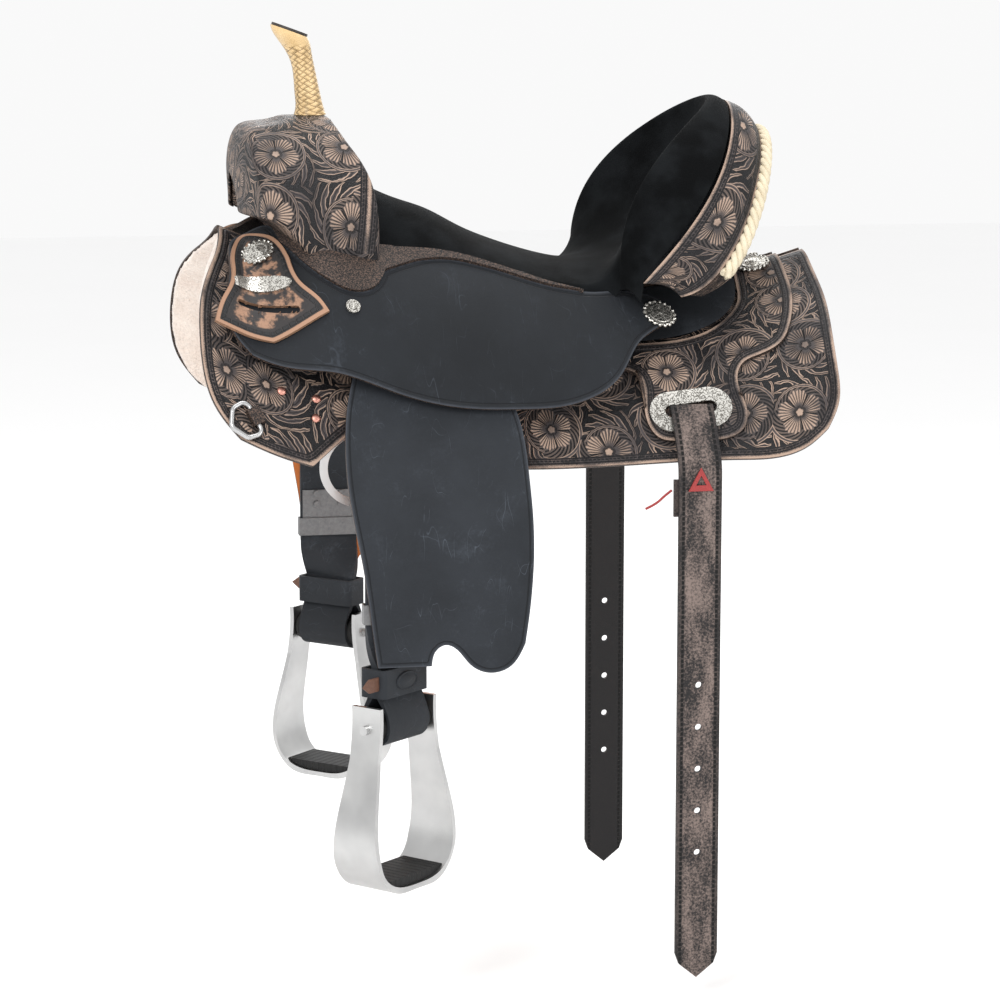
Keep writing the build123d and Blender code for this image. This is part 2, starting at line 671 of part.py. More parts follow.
def fender_profile(depth):
    """Side path of the fender's face moved in by depth: top, bend start, bend end."""
    top_z = 20.0
    shift = depth / sin(FS)

    def slant(z):
        return FENDER_OUT + (FENDER_LEVEL - z) / tan(FS) - shift

    turn = pi / 2 - FS
    radius = FENDER_BEND_RADIUS - depth
    bend_z = FENDER_BEND_LEVEL - depth * cos(FS)
    bend_y = FENDER_OUT + (FENDER_LEVEL - FENDER_BEND_LEVEL) / tan(FS) - depth * sin(FS)
    centre = (bend_y - radius * sin(FS), bend_z - radius * cos(FS))
    middle = (centre[0] + radius * sin(FS + turn / 2), centre[1] + radius * cos(FS + turn / 2))
    end = (centre[0] + radius, centre[1])
    return (slant(top_z), top_z), (bend_y, bend_z), middle, end


FENDER_FACE = fender_profile(0)[3][0]          # half-width of the fender's upright face


def hanging_sheet(depth, thick, x0, x1, z_end):
    """Sheet along the fender's side path, from depth to depth + thick inside its face."""
    edges = []
    ends = []
    for d in (depth, depth + thick):
        top, start, middle, end = fender_profile(d)
        last = (end[0], z_end)
        edges.append(Edge.make_line((x0, -top[0], top[1]), (x0, -start[0], start[1])))
        edges.append(Edge.make_three_point_arc((x0, -start[0], start[1]), (x0, -middle[0], middle[1]),
                                               (x0, -end[0], end[1])))
        edges.append(Edge.make_line((x0, -end[0], end[1]), (x0, -last[0], last[1])))
        ends.append((top, last))
    for k in (0, 1):
        edges.append(Edge.make_line((x0, -ends[0][k][0], ends[0][k][1]), (x0, -ends[1][k][0], ends[1][k][1])))
    return extrude(Face(Wire(edges)), amount=x1 - x0, dir=(1, 0, 0))


fender_runs = [
    [(-243, -36), (-222, -12), (-185, 2), (-150, -2), (-115, -24), (-94, -52), (-82, -79), (-75, -137),
     (-75, -207), (-79, -269), (-84, -305), (-99, -328), (-120, -334), (-140, -325), (-155, -308),
     (-165, -304), (-175, -310), (-179, FENDER_END)],
    [(-179, FENDER_END), (-233, FENDER_END)],
    [(-233, FENDER_END), (-238, -290), (-246, -230), (-257, -160), (-258, -110), (-253, -70), (-243, -36)],
]
fender = hanging_sheet(0, FENDER, -290, -50, FENDER_END - 5) & side_prism(fender_runs, inner=120)

STRAP_DEPTH = FENDER + STRAP_GAP
TWIST_TOP = -284.0
TWIST_END = -326.0
STRAP_TOP = -8.0
strap_sheet = hanging_sheet(STRAP_DEPTH, 2 * STRAP_PLY, STRAP_X - STRAP_WIDTH / 2, STRAP_X + STRAP_WIDTH / 2,
                            TWIST_TOP)
strap_sheet = strap_sheet & (Pos(STRAP_X, -200, (STRAP_TOP - 300) / 2) * Box(200, 300, 300 + STRAP_TOP))
STIRRUP_Y = FENDER_FACE - STRAP_DEPTH - STRAP_PLY - STIRRUP_INSET
turn = radians(STIRRUP_TURN)
bar_dir = Vector(cos(turn), sin(turn), 0)


def strap_section(share):
    a = STIRRUP_TURN * share
    y = mix(FENDER_FACE - STRAP_DEPTH - STRAP_PLY, STIRRUP_Y, smooth_step(share))
    z = mix(TWIST_TOP, TWIST_END, share)
    return Pos(STRAP_X, -y, z) * Rot(0, 0, a) * Rectangle(STRAP_WIDTH, 2 * STRAP_PLY)


strap_twist = loft([strap_section(k / 6) for k in range(7)])


def loop_face(radius, neck, top):
    """Teardrop round the roller, narrowing up to the strap."""
    side = ROLLER_LEVEL + 16
    left = Edge.make_spline([(-radius, ROLLER_LEVEL), (-radius * 0.82, side), (-neck - 0.8, top - 20),
                             (-neck, top)], tangents=[(0, 1), (0, 1)])
    right = Edge.make_spline([(neck, top), (neck + 0.8, top - 20), (radius * 0.82, side),
                              (radius, ROLLER_LEVEL)], tangents=[(0, -1), (0, -1)])
    cap = Edge.make_line((-neck, top), (neck, top))
    base = Edge.make_three_point_arc((radius, ROLLER_LEVEL), (0, ROLLER_LEVEL - radius), (-radius, ROLLER_LEVEL))
    return Face(Wire([left, cap, right, base]))


loop_frame = Plane(origin=(STRAP_X, -STIRRUP_Y, 0), x_dir=Vector(0, 0, 1).cross(bar_dir), z_dir=bar_dir)
if Vector(loop_frame.y_dir).Z < 0:
    loop_frame = Plane(origin=loop_frame.origin, x_dir=bar_dir.cross(Vector(0, 0, 1)), z_dir=bar_dir * -1)
loop_outer = loop_face(ROLLER_RADIUS + 0.5 + STRAP_PLY, STRAP_PLY, TWIST_END)
loop_inner = loop_face(ROLLER_RADIUS + 0.5, 0.6, TWIST_END - 10)
strap_loop = extrude(loop_frame * (loop_outer - loop_inner), amount=STRAP_WIDTH / 2, both=True)
stirrup_leather = strap_sheet + strap_twist + strap_loop

# ========================= fender pivot =========================
PIVOT_X, PIVOT_Z = -190.0, -20.0
PIVOT_RADIUS = 4.0
PIVOT_FIT = 0.05
pivot_half = FENDER_OUT + (FENDER_LEVEL - PIVOT_Z) / tan(FS)
pivot_plane = Plane(origin=(PIVOT_X, -pivot_half, PIVOT_Z), x_dir=(1, 0, 0), z_dir=(0, -sin(FS), cos(FS)))
pivot_bore = extrude(pivot_plane * Circle(PIVOT_RADIUS + PIVOT_FIT), amount=40, both=True)
fender = fender - pivot_bore
stirrup_leather = stirrup_leather - pivot_bore
pivot_reach = STRAP_DEPTH + 2 * STRAP_PLY
pivot_pin = extrude(pivot_plane * Circle(PIVOT_RADIUS), amount=-pivot_reach)

# ========================= hobble strap =========================
HOBBLE_TOP, HOBBLE_LOW = -328.0, -357.0
hobble_plane = Plane(origin=(STRAP_X, -STIRRUP_Y, HOBBLE_LOW), x_dir=bar_dir, z_dir=(0, 0, 1))
hobble_room = Rectangle(STRAP_WIDTH + 2, 25)
hobble_strap = extrude(hobble_plane * (RectangleRounded(STRAP_WIDTH + 9, 32, 6) - hobble_room),
                       amount=HOBBLE_TOP - HOBBLE_LOW)

# ========================= buckle =========================
buckle_y = FENDER_FACE - STRAP_DEPTH - 2 * STRAP_PLY
BUCKLE_Z = -252.0
buckle_plate = Pos(STRAP_X, -(buckle_y - 1.2), BUCKLE_Z) * Box(STRAP_WIDTH - 4, 1.6, 44)
studs = [Pos(STRAP_X + dx, -(buckle_y - 3.4), BUCKLE_Z + dz) * Rot(90, 0, 0) * Cylinder(3.5, 3.0)
         for dx in (-14, 14) for dz in (6, 18)]
buckle_plate = buckle_plate + studs
SLEEVE_Z = -272.0
SLEEVE_HEIGHT = 20.0
sleeve_mid = (FENDER_FACE - STRAP_DEPTH + 1.4 + buckle_y - 4.2) / 2
sleeve_depth = 2 * (FENDER_FACE - STRAP_DEPTH + 1.4 - sleeve_mid)
sleeve_wall = 1.0
buckle_sleeve = Pos(STRAP_X, -sleeve_mid, SLEEVE_Z) * (
    Box(STRAP_WIDTH + 5, sleeve_depth, SLEEVE_HEIGHT)
    - Box(STRAP_WIDTH + 5 - 2 * sleeve_wall, sleeve_depth - 2 * sleeve_wall, SLEEVE_HEIGHT + 2))

# ========================= stirrup =========================
stirrup_frame = Plane(origin=(STRAP_X, -STIRRUP_Y, 0), x_dir=bar_dir, z_dir=bar_dir.cross(Vector(0, 0, 1)))


def u_runs(grow):
    """Half outline of the U-shaped band, from leg top to the middle of the tread."""
    top, low = STIRRUP_TOP_HALF + grow, STIRRUP_LOW_HALF + grow
    floor = STIRRUP_BOTTOM + STIRRUP_BAND - grow
    leg = [(top, STIRRUP_TOP), (top + 1, -400), (low - 6, -460), (low, -508), (low - 9, -536),
           (low - 28, floor + 3), (0, floor)]
    return leg


def u_face():
    inner = u_runs(0)
    outer = u_runs(STIRRUP_BAND)
    edges = []
    for leg in (inner, outer):
        other = [(-x, z) for x, z in reversed(leg[:-1])]
        edges.append(Edge.make_spline(leg + other))
    ends = [Edge.make_line(edges[0] @ 0, edges[1] @ 0), Edge.make_line(edges[0] @ 1, edges[1] @ 1)]
    return Face(Wire(edges + ends))


u_band = extrude(stirrup_frame * u_face(), amount=STIRRUP_LOW_DEPTH / 2, both=True)
depth_half_top = STIRRUP_TOP_DEPTH / 2
depth_half_low = STIRRUP_LOW_DEPTH / 2
taper = [(-depth_half_top, STIRRUP_TOP + 5), (depth_half_top, STIRRUP_TOP + 5), (depth_half_top, -420),
         (depth_half_low, -520), (depth_half_low, -570), (-depth_half_low, -570), (-depth_half_low, -520),
         (-depth_half_top, -420)]
taper_frame = Plane(origin=stirrup_frame.origin - bar_dir * 100, x_dir=stirrup_frame.z_dir, z_dir=bar_dir)
taper_sign = 1 if Vector(taper_frame.y_dir).Z > 0 else -1
taper_face = make_face(Polyline([(x, taper_sign * z) for x, z in taper], close=True))
stirrup = u_band & extrude(taper_frame * taper_face, amount=200)
roller_frame = Plane(origin=Vector(STRAP_X, -STIRRUP_Y, ROLLER_LEVEL), z_dir=bar_dir)
bolt_hole = extrude(roller_frame * Circle(BOLT_RADIUS + 0.05), amount=100, both=True)
stirrup = stirrup - bolt_hole
roller_half = STIRRUP_TOP_HALF - 1.0
stirrup_roller = extrude(roller_frame * (Circle(ROLLER_RADIUS) - Circle(BOLT_RADIUS + 0.3)), amount=roller_half,
                         both=True)
bolt_half = STIRRUP_TOP_HALF + STIRRUP_BAND + 4.5
stirrup_bolt = extrude(roller_frame * Circle(BOLT_RADIUS), amount=bolt_half, both=True)
inner_grid = [(x, z) for x, z in u_runs(-0.4)]
tread_edge = Edge.make_spline(inner_grid + [(-x, z) for x, z in reversed(inner_grid[:-1])])
tread_fill = Face(Wire([tread_edge, Edge.make_line(tread_edge @ 1, tread_edge @ 0)]))
stirrup_tread = extrude(stirrup_frame * tread_fill, amount=depth_half_low - 4, both=True)
tread_cut = Pos(STRAP_X, -STIRRUP_Y, STIRRUP_BOTTOM + STIRRUP_BAND + TREAD + 3 + 200) * Box(400, 400, 400)
stirrup_tread = stirrup_tread - tread_cut

# ========================= flank billet =========================
PLATE_GAP = 1.3            # between the hanging strap and the plate's face
HINGE_RADIUS = 4.6
BILLET_OUT = 229.0
BILLET_DROP = -150.0
billet_axis = slot_plane.offset(FIT + PLATE).origin
slot_out = (-slot_plane.z_dir.Y, slot_plane.z_dir.Z)
slot_reach = sqrt(slot_out[0] ** 2 + slot_out[1] ** 2)


def beside_slot(down, out):
    """Place (half-width, height) at a distance down the slope and out of the plate's face."""
    y = -billet_axis.Y + (down * slot_out[1] + out * slot_out[0]) / slot_reach
    z = billet_axis.Z + (out * slot_out[1] - down * slot_out[0]) / slot_reach
    return (y, z)


def billet_strip():
    """Strap path in the side plane: round the hinge, over the skirt's edge, then upright."""
    outer = [beside_slot(1, HINGE_RADIUS - 0.2), beside_slot(12, PLATE_GAP + BILLET_THICK),
             beside_slot(36, PLATE_GAP + BILLET_THICK), (BILLET_OUT, BILLET_DROP)]
    inner = [beside_slot(1, 1.0), beside_slot(6, PLATE_GAP + 0.3), beside_slot(34, PLATE_GAP),
             (BILLET_OUT - BILLET_THICK, BILLET_DROP)]
    face_edges = []
    down_slope = Vector(0, -slot_out[1], -slot_out[0])
    for path in (outer, inner):
        places = [(0, -y, z) for y, z in path]
        face_edges.append(Edge.make_spline(places, tangents=[down_slope, Vector(0, 0, -1)]))
    low_out = (0, -BILLET_OUT, BILLET_END)
    low_in = (0, -BILLET_OUT + BILLET_THICK, BILLET_END)
    face_edges.append(Edge.make_line(face_edges[0] @ 1, low_out))
    face_edges.append(Edge.make_line(face_edges[1] @ 1, low_in))
    face_edges.append(Edge.make_line(low_out, low_in))
    face_edges.append(Edge.make_line(face_edges[0] @ 0, face_edges[1] @ 0))
    return extrude(Face(Wire(face_edges)), amount=BILLET_WIDTH / 2, dir=(1, 0, 0), both=True)


half = BILLET_WIDTH / 2
tip = [(-half, 200), (half, 200), (half, BILLET_END + 26), (half - 4, BILLET_END + 15), (0, BILLET_END),
       (4 - half, BILLET_END + 15), (-half, BILLET_END + 26)]
tip_face = make_face(Polyline([(x, 0, z) for x, z in tip], close=True))
billet = billet_strip() & extrude(tip_face, amount=400, dir=(0, -1, 0))
for k in range(BILLET_HOLES):
    hole_z = BILLET_HOLE_FIRST - k * BILLET_HOLE_PITCH
    billet = billet - Pos(0, -BILLET_OUT, hole_z) * Rot(90, 0, 0) * Cylinder(BILLET_HOLE_RADIUS, 40)
hinge_roll = Pos(0, billet_axis.Y, billet_axis.Z) * Rot(0, 90, 0) * Cylinder(HINGE_RADIUS, BILLET_WIDTH)
billet = billet + hinge_roll
billet = Pos(BILLET_X, 0, 0) * billet
fold_ply = Pos(BILLET_X - 4, -(BILLET_OUT - BILLET_THICK - 2.6), -171) * Box(BILLET_WIDTH, 4.6, 38)
LACE_Z = -150.0
lace_legs = [(0, 11), (13, -13), (-13, -13)]
lace_face = make_face(Polyline([(x, 0, z) for x, z in lace_legs], close=True))
lace_hole = make_face(Polyline([(x * 0.42, 0, z * 0.42 - 1.6) for x, z in lace_legs], close=True))
red_lace = Pos(BILLET_X, -BILLET_OUT - 2.4, LACE_Z) * extrude(lace_face - lace_hole, amount=2.2, dir=(0, 1, 0))

# ========================= lace tail =========================
LACE_TAIL = [(BILLET_X - 6 - half, -220.2, -163.0), (69.0, -222.0, -168.0), (60.0, -223.5, -176.0),
             (49.0, -222.5, -181.0)]
LACE_RADIUS = 1.3
tail_path = FilletPolyline(*LACE_TAIL, radius=[14.0, 14.0])
tail_profile = Plane(origin=tail_path @ 0, z_dir=tail_path % 0) * Circle(LACE_RADIUS)
lace_tail = sweep(tail_profile, path=tail_path)

# ========================= all nodes =========================
keep_pair("fleece", fleece)
keep_pair("skirt", skirt)
keep_pair("tree_bar", bar)
keep_pair("rear_jockey", housing)
keep_pair("flank_plate", plate)
keep_pair("seat_jockey", jockey)
keep_pair("latigo_keeper", keeper)
keep_both("keeper_plates", [keeper_plate])
keep_both("conchos", [front_concho, middle_concho, rear_concho])
keep_both("copper_rivets", rivets + [pivot_pin])
keep_both("seat_screws", [screw, ferrule])
keep("ground_seat", ground_seat)
keep("seat_foam", seat_foam)
keep("seat_cover", seat_cover)
keep("cantle_core", cantle_core)
keep("cantle_back", cantle_back)
keep("cantle_band", cantle_band)
keep("cantle_rope", cantle_rope)
keep("fork_core", fork_core)
keep("fork_cover", fork_cover)
keep("horn_core", horn_core)
keep("horn_wrap", horn_wrap)
keep("horn_cap", horn_cap)
keep_pair("breast_dee", breast_dee)
keep_both("dee_chapes", [dee_chape])
keep_pair("rigging_ring", rigging_ring)
keep_both("rigging_chapes", [rigging_chape])
keep_pair("fender", fender)
keep_pair("stirrup_leather", stirrup_leather)
keep_pair("hobble_strap", hobble_strap)
keep_pair("buckle_plate", buckle_plate)
keep_pair("buckle_sleeve", buckle_sleeve)
keep_pair("stirrup", stirrup)
keep_pair("stirrup_roller", stirrup_roller)
keep_pair("stirrup_bolt", stirrup_bolt)
keep_pair("stirrup_tread", stirrup_tread)
keep_pair("flank_billet", Compound(children=[billet.solid(), fold_ply.solid()]))
keep_pair("billet_lace", red_lace)
keep_pair("lace_tail", lace_tail)

os.makedirs("parts", exist_ok=True)
for name, shape in NODES.items():
    export_step(shape, "parts/" + name + ".step")
    print(name, round(shape.volume), len(shape.solids()))
print(len(NODES), "nodes")
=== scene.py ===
import math
import bmesh
import bpy
import numpy as np
from mathutils import Matrix, Vector


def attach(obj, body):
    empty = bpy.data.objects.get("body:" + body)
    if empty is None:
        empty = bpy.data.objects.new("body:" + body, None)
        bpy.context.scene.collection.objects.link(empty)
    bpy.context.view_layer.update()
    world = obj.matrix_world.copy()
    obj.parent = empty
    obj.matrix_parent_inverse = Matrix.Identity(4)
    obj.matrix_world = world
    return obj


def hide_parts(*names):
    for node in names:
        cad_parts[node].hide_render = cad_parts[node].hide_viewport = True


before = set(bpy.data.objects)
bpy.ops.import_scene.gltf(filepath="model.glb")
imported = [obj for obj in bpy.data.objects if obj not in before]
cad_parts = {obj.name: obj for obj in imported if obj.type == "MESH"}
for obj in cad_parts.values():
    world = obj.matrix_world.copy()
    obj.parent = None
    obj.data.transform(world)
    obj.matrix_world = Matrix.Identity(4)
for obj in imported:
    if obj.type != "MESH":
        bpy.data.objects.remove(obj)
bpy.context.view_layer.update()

# ---- camera, lights and floor ----------------------------------------------------------
# A long lens stands a little ahead of the near side and slightly above the seat.
# Large soft panels light the saddle from the front, the top and both ends.
target = Vector((-0.060, 0.0, -0.205))
around, above, away = math.radians(-10.5), math.radians(9.5), 3.6
camera = bpy.data.objects.new("camera", bpy.data.cameras.new("camera"))
camera.location = target + away * Vector((math.sin(around) * math.cos(above),
                                          -math.cos(around) * math.cos(above), math.sin(above)))
camera.rotation_euler = (target - camera.location).to_track_quat("-Z", "Y").to_euler()
camera.data.angle = math.radians(16.99)
bpy.context.collection.objects.link(camera)
bpy.context.scene.camera = camera

panel_lights = {
    "key_panel": ((-1.9, -2.6, 1.9), 1.2, 62.0),
    "fill_panel": ((2.2, -2.2, 0.8), 1.4, 22.0),
    "top_panel": ((0.0, 0.3, 2.4), 1.6, 30.0),
    "front_panel": ((-0.4, -3.2, -0.3), 1.2, 8.0),
    "back_panel": ((0.6, 2.6, 1.2), 1.8, 22.0),
}
for light_name, (spot, size, power) in panel_lights.items():
    light = bpy.data.objects.new(light_name, bpy.data.lights.new(light_name, "AREA"))
    light.data.size = size
    light.data.energy = power
    light.location = spot
    light.rotation_euler = (Vector((0.0, 0.0, -0.1)) - Vector(spot)).to_track_quat("-Z", "Y").to_euler()
    bpy.context.collection.objects.link(light)

world = bpy.data.worlds.new("studio")
world.use_nodes = True
world.node_tree.nodes["Background"].inputs["Color"].default_value = (1.0, 1.0, 1.0, 1.0)
world.node_tree.nodes["Background"].inputs["Strength"].default_value = 0.95
bpy.context.scene.world = world
bpy.context.scene.view_settings.view_transform = "Standard"


class Value:
    """A number that varies over a finish; arithmetic on it adds the maths nodes."""

    def __init__(self, finish, socket):
        self.finish = finish
        self.socket = socket

    def __add__(self, other):
        return self.finish.maths("ADD", self, other)

    def __sub__(self, other):
        return self.finish.maths("SUBTRACT", self, other)

    def __rsub__(self, other):
        return self.finish.maths("SUBTRACT", other, self)

    def __mul__(self, other):
        return self.finish.maths("MULTIPLY", self, other)

    def __truediv__(self, other):
        return self.finish.maths("DIVIDE", self, other)

    def __pow__(self, other):
        return self.finish.maths("POWER", self, other)

    def __abs__(self):
        return self.finish.maths("ABSOLUTE", self)

    __radd__ = __add__
    __rmul__ = __mul__


class Finish:
    """A leather, metal or cloth finish, built up as a node material."""

    def __init__(self, name):
        self.material = bpy.data.materials.new(name)
        self.material.use_nodes = True
        self.tree = self.material.node_tree
        self.shader = self.tree.nodes["Principled BSDF"]

    def link(self, node, sockets):
        for key, value in sockets.items():
            if isinstance(value, Value):
                value = value.socket
            if isinstance(value, bpy.types.NodeSocket):
                self.tree.links.new(value, node.inputs[key])
            else:
                node.inputs[key].default_value = value

    def node(self, kind, settings=None, sockets=None):
        node = self.tree.nodes.new(kind)
        for key, value in (settings or {}).items():
            setattr(node, key, value)
        self.link(node, sockets or {})
        return node

    def maths(self, operation, *values):
        node = self.node("ShaderNodeMath", {"operation": operation}, dict(enumerate(values)))
        return Value(self, node.outputs[0])

    def step(self, value, low, high):
        """0 at low and below, 1 at high and beyond, with a soft change between."""
        node = self.node("ShaderNodeMapRange", {"interpolation_type": "SMOOTHSTEP"},
                         {"Value": value, "From Min": low, "From Max": high})
        return Value(self, node.outputs["Result"])

    def noise(self, place, scale, detail=3.0, rough=0.55):
        node = self.node("ShaderNodeTexNoise", {}, {"Vector": place, "Scale": scale, "Detail": detail,
                                                    "Roughness": rough})
        return Value(self, node.outputs["Fac"])

    def cells(self, place, scale, feature="F1", randomness=1.0):
        return self.node("ShaderNodeTexVoronoi", {"feature": feature}, {
            "Vector": place, "Scale": scale, "Randomness": randomness})

    def colour(self, share, low, high):
        node = self.node("ShaderNodeMix", {"data_type": "RGBA"}, {0: share, 6: low, 7: high})
        return node.outputs[2]

    def place(self, stretch=(1, 1, 1)):
        """Object coordinates, optionally stretched."""
        where = self.node("ShaderNodeTexCoord").outputs["Object"]
        if stretch == (1, 1, 1):
            return where
        return self.node("ShaderNodeMapping", {}, {"Vector": where, "Scale": stretch}).outputs[0]

    def split(self, vector):
        outs = self.node("ShaderNodeSeparateXYZ", {}, {0: vector}).outputs
        return [Value(self, socket) for socket in outs]

    def map(self, name):
        return self.node("ShaderNodeUVMap", {"uv_map": name}).outputs[0]

    def paint(self, colour, rough, height=None, depth=0.001, metallic=0.0, coat=0.0, sheen=0.0,
              gloss=0.4):
        sockets = {"Base Color": colour, "Roughness": rough, "Metallic": metallic, "Coat Weight": coat,
                   "Coat Roughness": 0.3, "Sheen Weight": sheen, "Specular IOR Level": gloss}
        if height is not None:
            bump = self.node("ShaderNodeBump", {}, {"Height": height, "Distance": depth, "Strength": 1.0})
            sockets["Normal"] = bump.outputs[0]
        self.link(self.shader, sockets)
        return self.material


floor_finish = Finish("studio_floor")
floor_cloud = floor_finish.noise(floor_finish.place(), 2.0)
floor_tone = floor_finish.colour(floor_cloud, (0.95, 0.95, 0.95, 1), (0.97, 0.97, 0.97, 1))
floor_material = floor_finish.paint(floor_tone, 0.9)
bm = bmesh.new()
bmesh.ops.create_grid(bm, x_segments=2, y_segments=2, size=9.0)
bmesh.ops.translate(bm, verts=bm.verts, vec=(0, 0, -0.70))
floor_mesh = bpy.data.meshes.new("floor")
bm.to_mesh(floor_mesh)
bm.free()
floor_mesh.materials.append(floor_material)
floor = bpy.data.objects.new("floor", floor_mesh)
bpy.context.collection.objects.link(floor)

# ---- lace tails ------------------------------------------------------------------------
# The free end of the red lace sticks out forward from behind each flank billet.
# It is a short flat-cut thong, a little curled, and it swings with its billet.
MM = 0.001
SIDES = {"near": -1, "off": 1}
BILLET_X = 105.0
BILLET_WIDTH = 44.5
LACE_RADIUS = 1.3 * MM

lace_finish = Finish("red_latigo")
lace_grain = lace_finish.noise(lace_finish.place(), 900.0, 4.0)
lace_red = lace_finish.paint(lace_finish.colour(lace_grain, (0.16, 0.012, 0.014, 1), (0.40, 0.045, 0.04, 1)),
                             0.45, lace_grain, 0.0003)

for side, sign in SIDES.items():
    route = [(BILLET_X - 6 - BILLET_WIDTH / 2, -220.2, -163.0), (69.0, -222.0, -168.0), (60.0, -223.5, -176.0),
             (49.0, -222.5, -181.0)]
    tail_curve = bpy.data.curves.new("lace_tail_" + side, "CURVE")
    tail_curve.dimensions = "3D"
    tail_curve.bevel_depth = LACE_RADIUS
    tail_curve.bevel_resolution = 3
    tail_curve.use_fill_caps = True
    thong = tail_curve.splines.new("NURBS")
    thong.points.add(len(route) - 1)
    for point, (x, y, z) in zip(thong.points, route):
        point.co = (x * MM, -sign * y * MM, z * MM, 1.0)
    thong.order_u = 3
    thong.use_endpoint_u = True
    thong.resolution_u = 12
    tail_curve.materials.append(lace_red)
    tail = bpy.data.objects.new("red_lace_tail_" + side, tail_curve)
    bpy.context.collection.objects.link(tail)
    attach(tail, "billet_" + side)
    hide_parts("lace_tail_" + side)

# ---- fleece lining ---------------------------------------------------------------------
# Cropped wool lines the whole underside of the skirts and shows at the front opening.
# Its pile is raised from the lining's own surface in small curls.


def remeshed(node, name, voxel):
    """A merged copy of a CAD node, with an even skin of small faces."""
    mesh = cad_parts[node].data.copy()
    bm = bmesh.new()
    bm.from_mesh(mesh)
    bmesh.ops.remove_doubles(bm, verts=bm.verts, dist=1e-6)
    bm.to_mesh(mesh)
    bm.free()
    rough = bpy.data.objects.new(name + "_raw", mesh)
    rough.matrix_world = Matrix.Identity(4)
    bpy.context.collection.objects.link(rough)
    skin = rough.modifiers.new("skin", "REMESH")
    skin.mode = "VOXEL"
    skin.voxel_size = voxel
    skin.use_smooth_shade = True
    bpy.context.view_layer.update()
    graph = bpy.context.evaluated_depsgraph_get()
    finished = bpy.data.meshes.new_from_object(rough.evaluated_get(graph))
    bpy.data.objects.remove(rough)
    piece = bpy.data.objects.new(name, finished)
    bpy.context.collection.objects.link(piece)
    return piece


def settle(piece, passes):
    """Evens out a piece's surface."""
    bm = bmesh.new()
    bm.from_mesh(piece.data)
    for _ in range(passes):
        bmesh.ops.smooth_vert(bm, verts=bm.verts, factor=0.5, use_axis_x=True, use_axis_y=True, use_axis_z=True)
    bm.to_mesh(piece.data)
    bm.free()


def points_of(mesh):
    flat = np.zeros(len(mesh.vertices) * 3)
    mesh.vertices.foreach_get("co", flat)
    return flat.reshape(-1, 3)


def normals_of(mesh):
    flat = np.zeros(len(mesh.vertices) * 3)
    mesh.vertices.foreach_get("normal", flat)
    return flat.reshape(-1, 3)


def move_to(mesh, places):
    mesh.vertices.foreach_set("co", np.asarray(places, dtype=float).ravel())
    mesh.update()


def shade_smooth(mesh):
    mesh.polygons.foreach_set("use_smooth", [True] * len(mesh.polygons))


wool_finish = Finish("cropped_wool")
wool_place = wool_finish.place()
wool_curl = Value(wool_finish, wool_finish.cells(wool_place, 260.0, "SMOOTH_F1").outputs["Distance"])
wool_cloud = wool_finish.noise(wool_place, 28.0, 4.0)
wool_pile_noise = wool_finish.noise(wool_place, 420.0, 3.0)
wool_tone = wool_finish.colour(wool_cloud, (0.56, 0.44, 0.37, 1), (0.84, 0.77, 0.70, 1))
# Painted shade: the wool is darkened towards brown in the hollows between the curls, where the bump sinks, more where
# a noise is high.
wool_tone = wool_finish.colour(wool_curl * 0.55 * wool_pile_noise, wool_tone, (0.42, 0.33, 0.27, 1))
wool = wool_finish.paint(wool_tone, 0.95, wool_curl * -0.7 + wool_pile_noise * 0.6, 0.0022, sheen=0.4)

for side in SIDES:
    lining = remeshed("fleece_" + side, "wool_lining_" + side, 3.6 * MM)
    spots = points_of(lining.data)
    tuft = (np.sin(spots[:, 0] * 610 + 3 * np.sin(spots[:, 2] * 190)) * np.sin(spots[:, 1] * 560 + spots[:, 2] * 430)
            + 0.6 * np.sin(spots[:, 0] * 260 + spots[:, 2] * 310))
    move_to(lining.data, spots + normals_of(lining.data) * (tuft[:, None] * 0.00045 - 0.0008))
    shade_smooth(lining.data)
    lining.data.materials.clear()
    lining.data.materials.append(wool)
    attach(lining, "saddle")
    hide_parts("fleece_" + side)

# ---- tooled skirts ---------------------------------------------------------------------
# Each skirt is one cut of heavy leather, curved to the horse's back, carved all over with
# flowers and scrolls, antiqued black and rubbed to tan, with a creased and stitched border.
ROCK = 900.0
RIDGE = 55.0
RIDGE_TURN = math.radians(27.0)
SHOULDER = 62.0
RIB = 240.0
FLANK_TURN = math.radians(60.0)
FLANK_RUN = 110.0
BEND_1 = (RIDGE * math.sin(RIDGE_TURN), -RIDGE * (1 - math.cos(RIDGE_TURN)))
BEND_2 = (BEND_1[0] + SHOULDER * math.cos(RIDGE_TURN), BEND_1[1] - SHOULDER * math.sin(RIDGE_TURN))
RIB_MIDDLE = (BEND_2[0] - RIB * math.sin(RIDGE_TURN), BEND_2[1] - RIB * math.cos(RIDGE_TURN))
BEND_3 = (RIB_MIDDLE[0] + RIB * math.sin(FLANK_TURN), RIB_MIDDLE[1] + RIB * math.cos(FLANK_TURN))
RUN_1 = RIDGE * RIDGE_TURN
RUN_2 = RUN_1 + SHOULDER
RUN_3 = RUN_2 + RIB * (FLANK_TURN - RIDGE_TURN)
SKIRT_TOP = 14.0 + 0.3 + 4.7


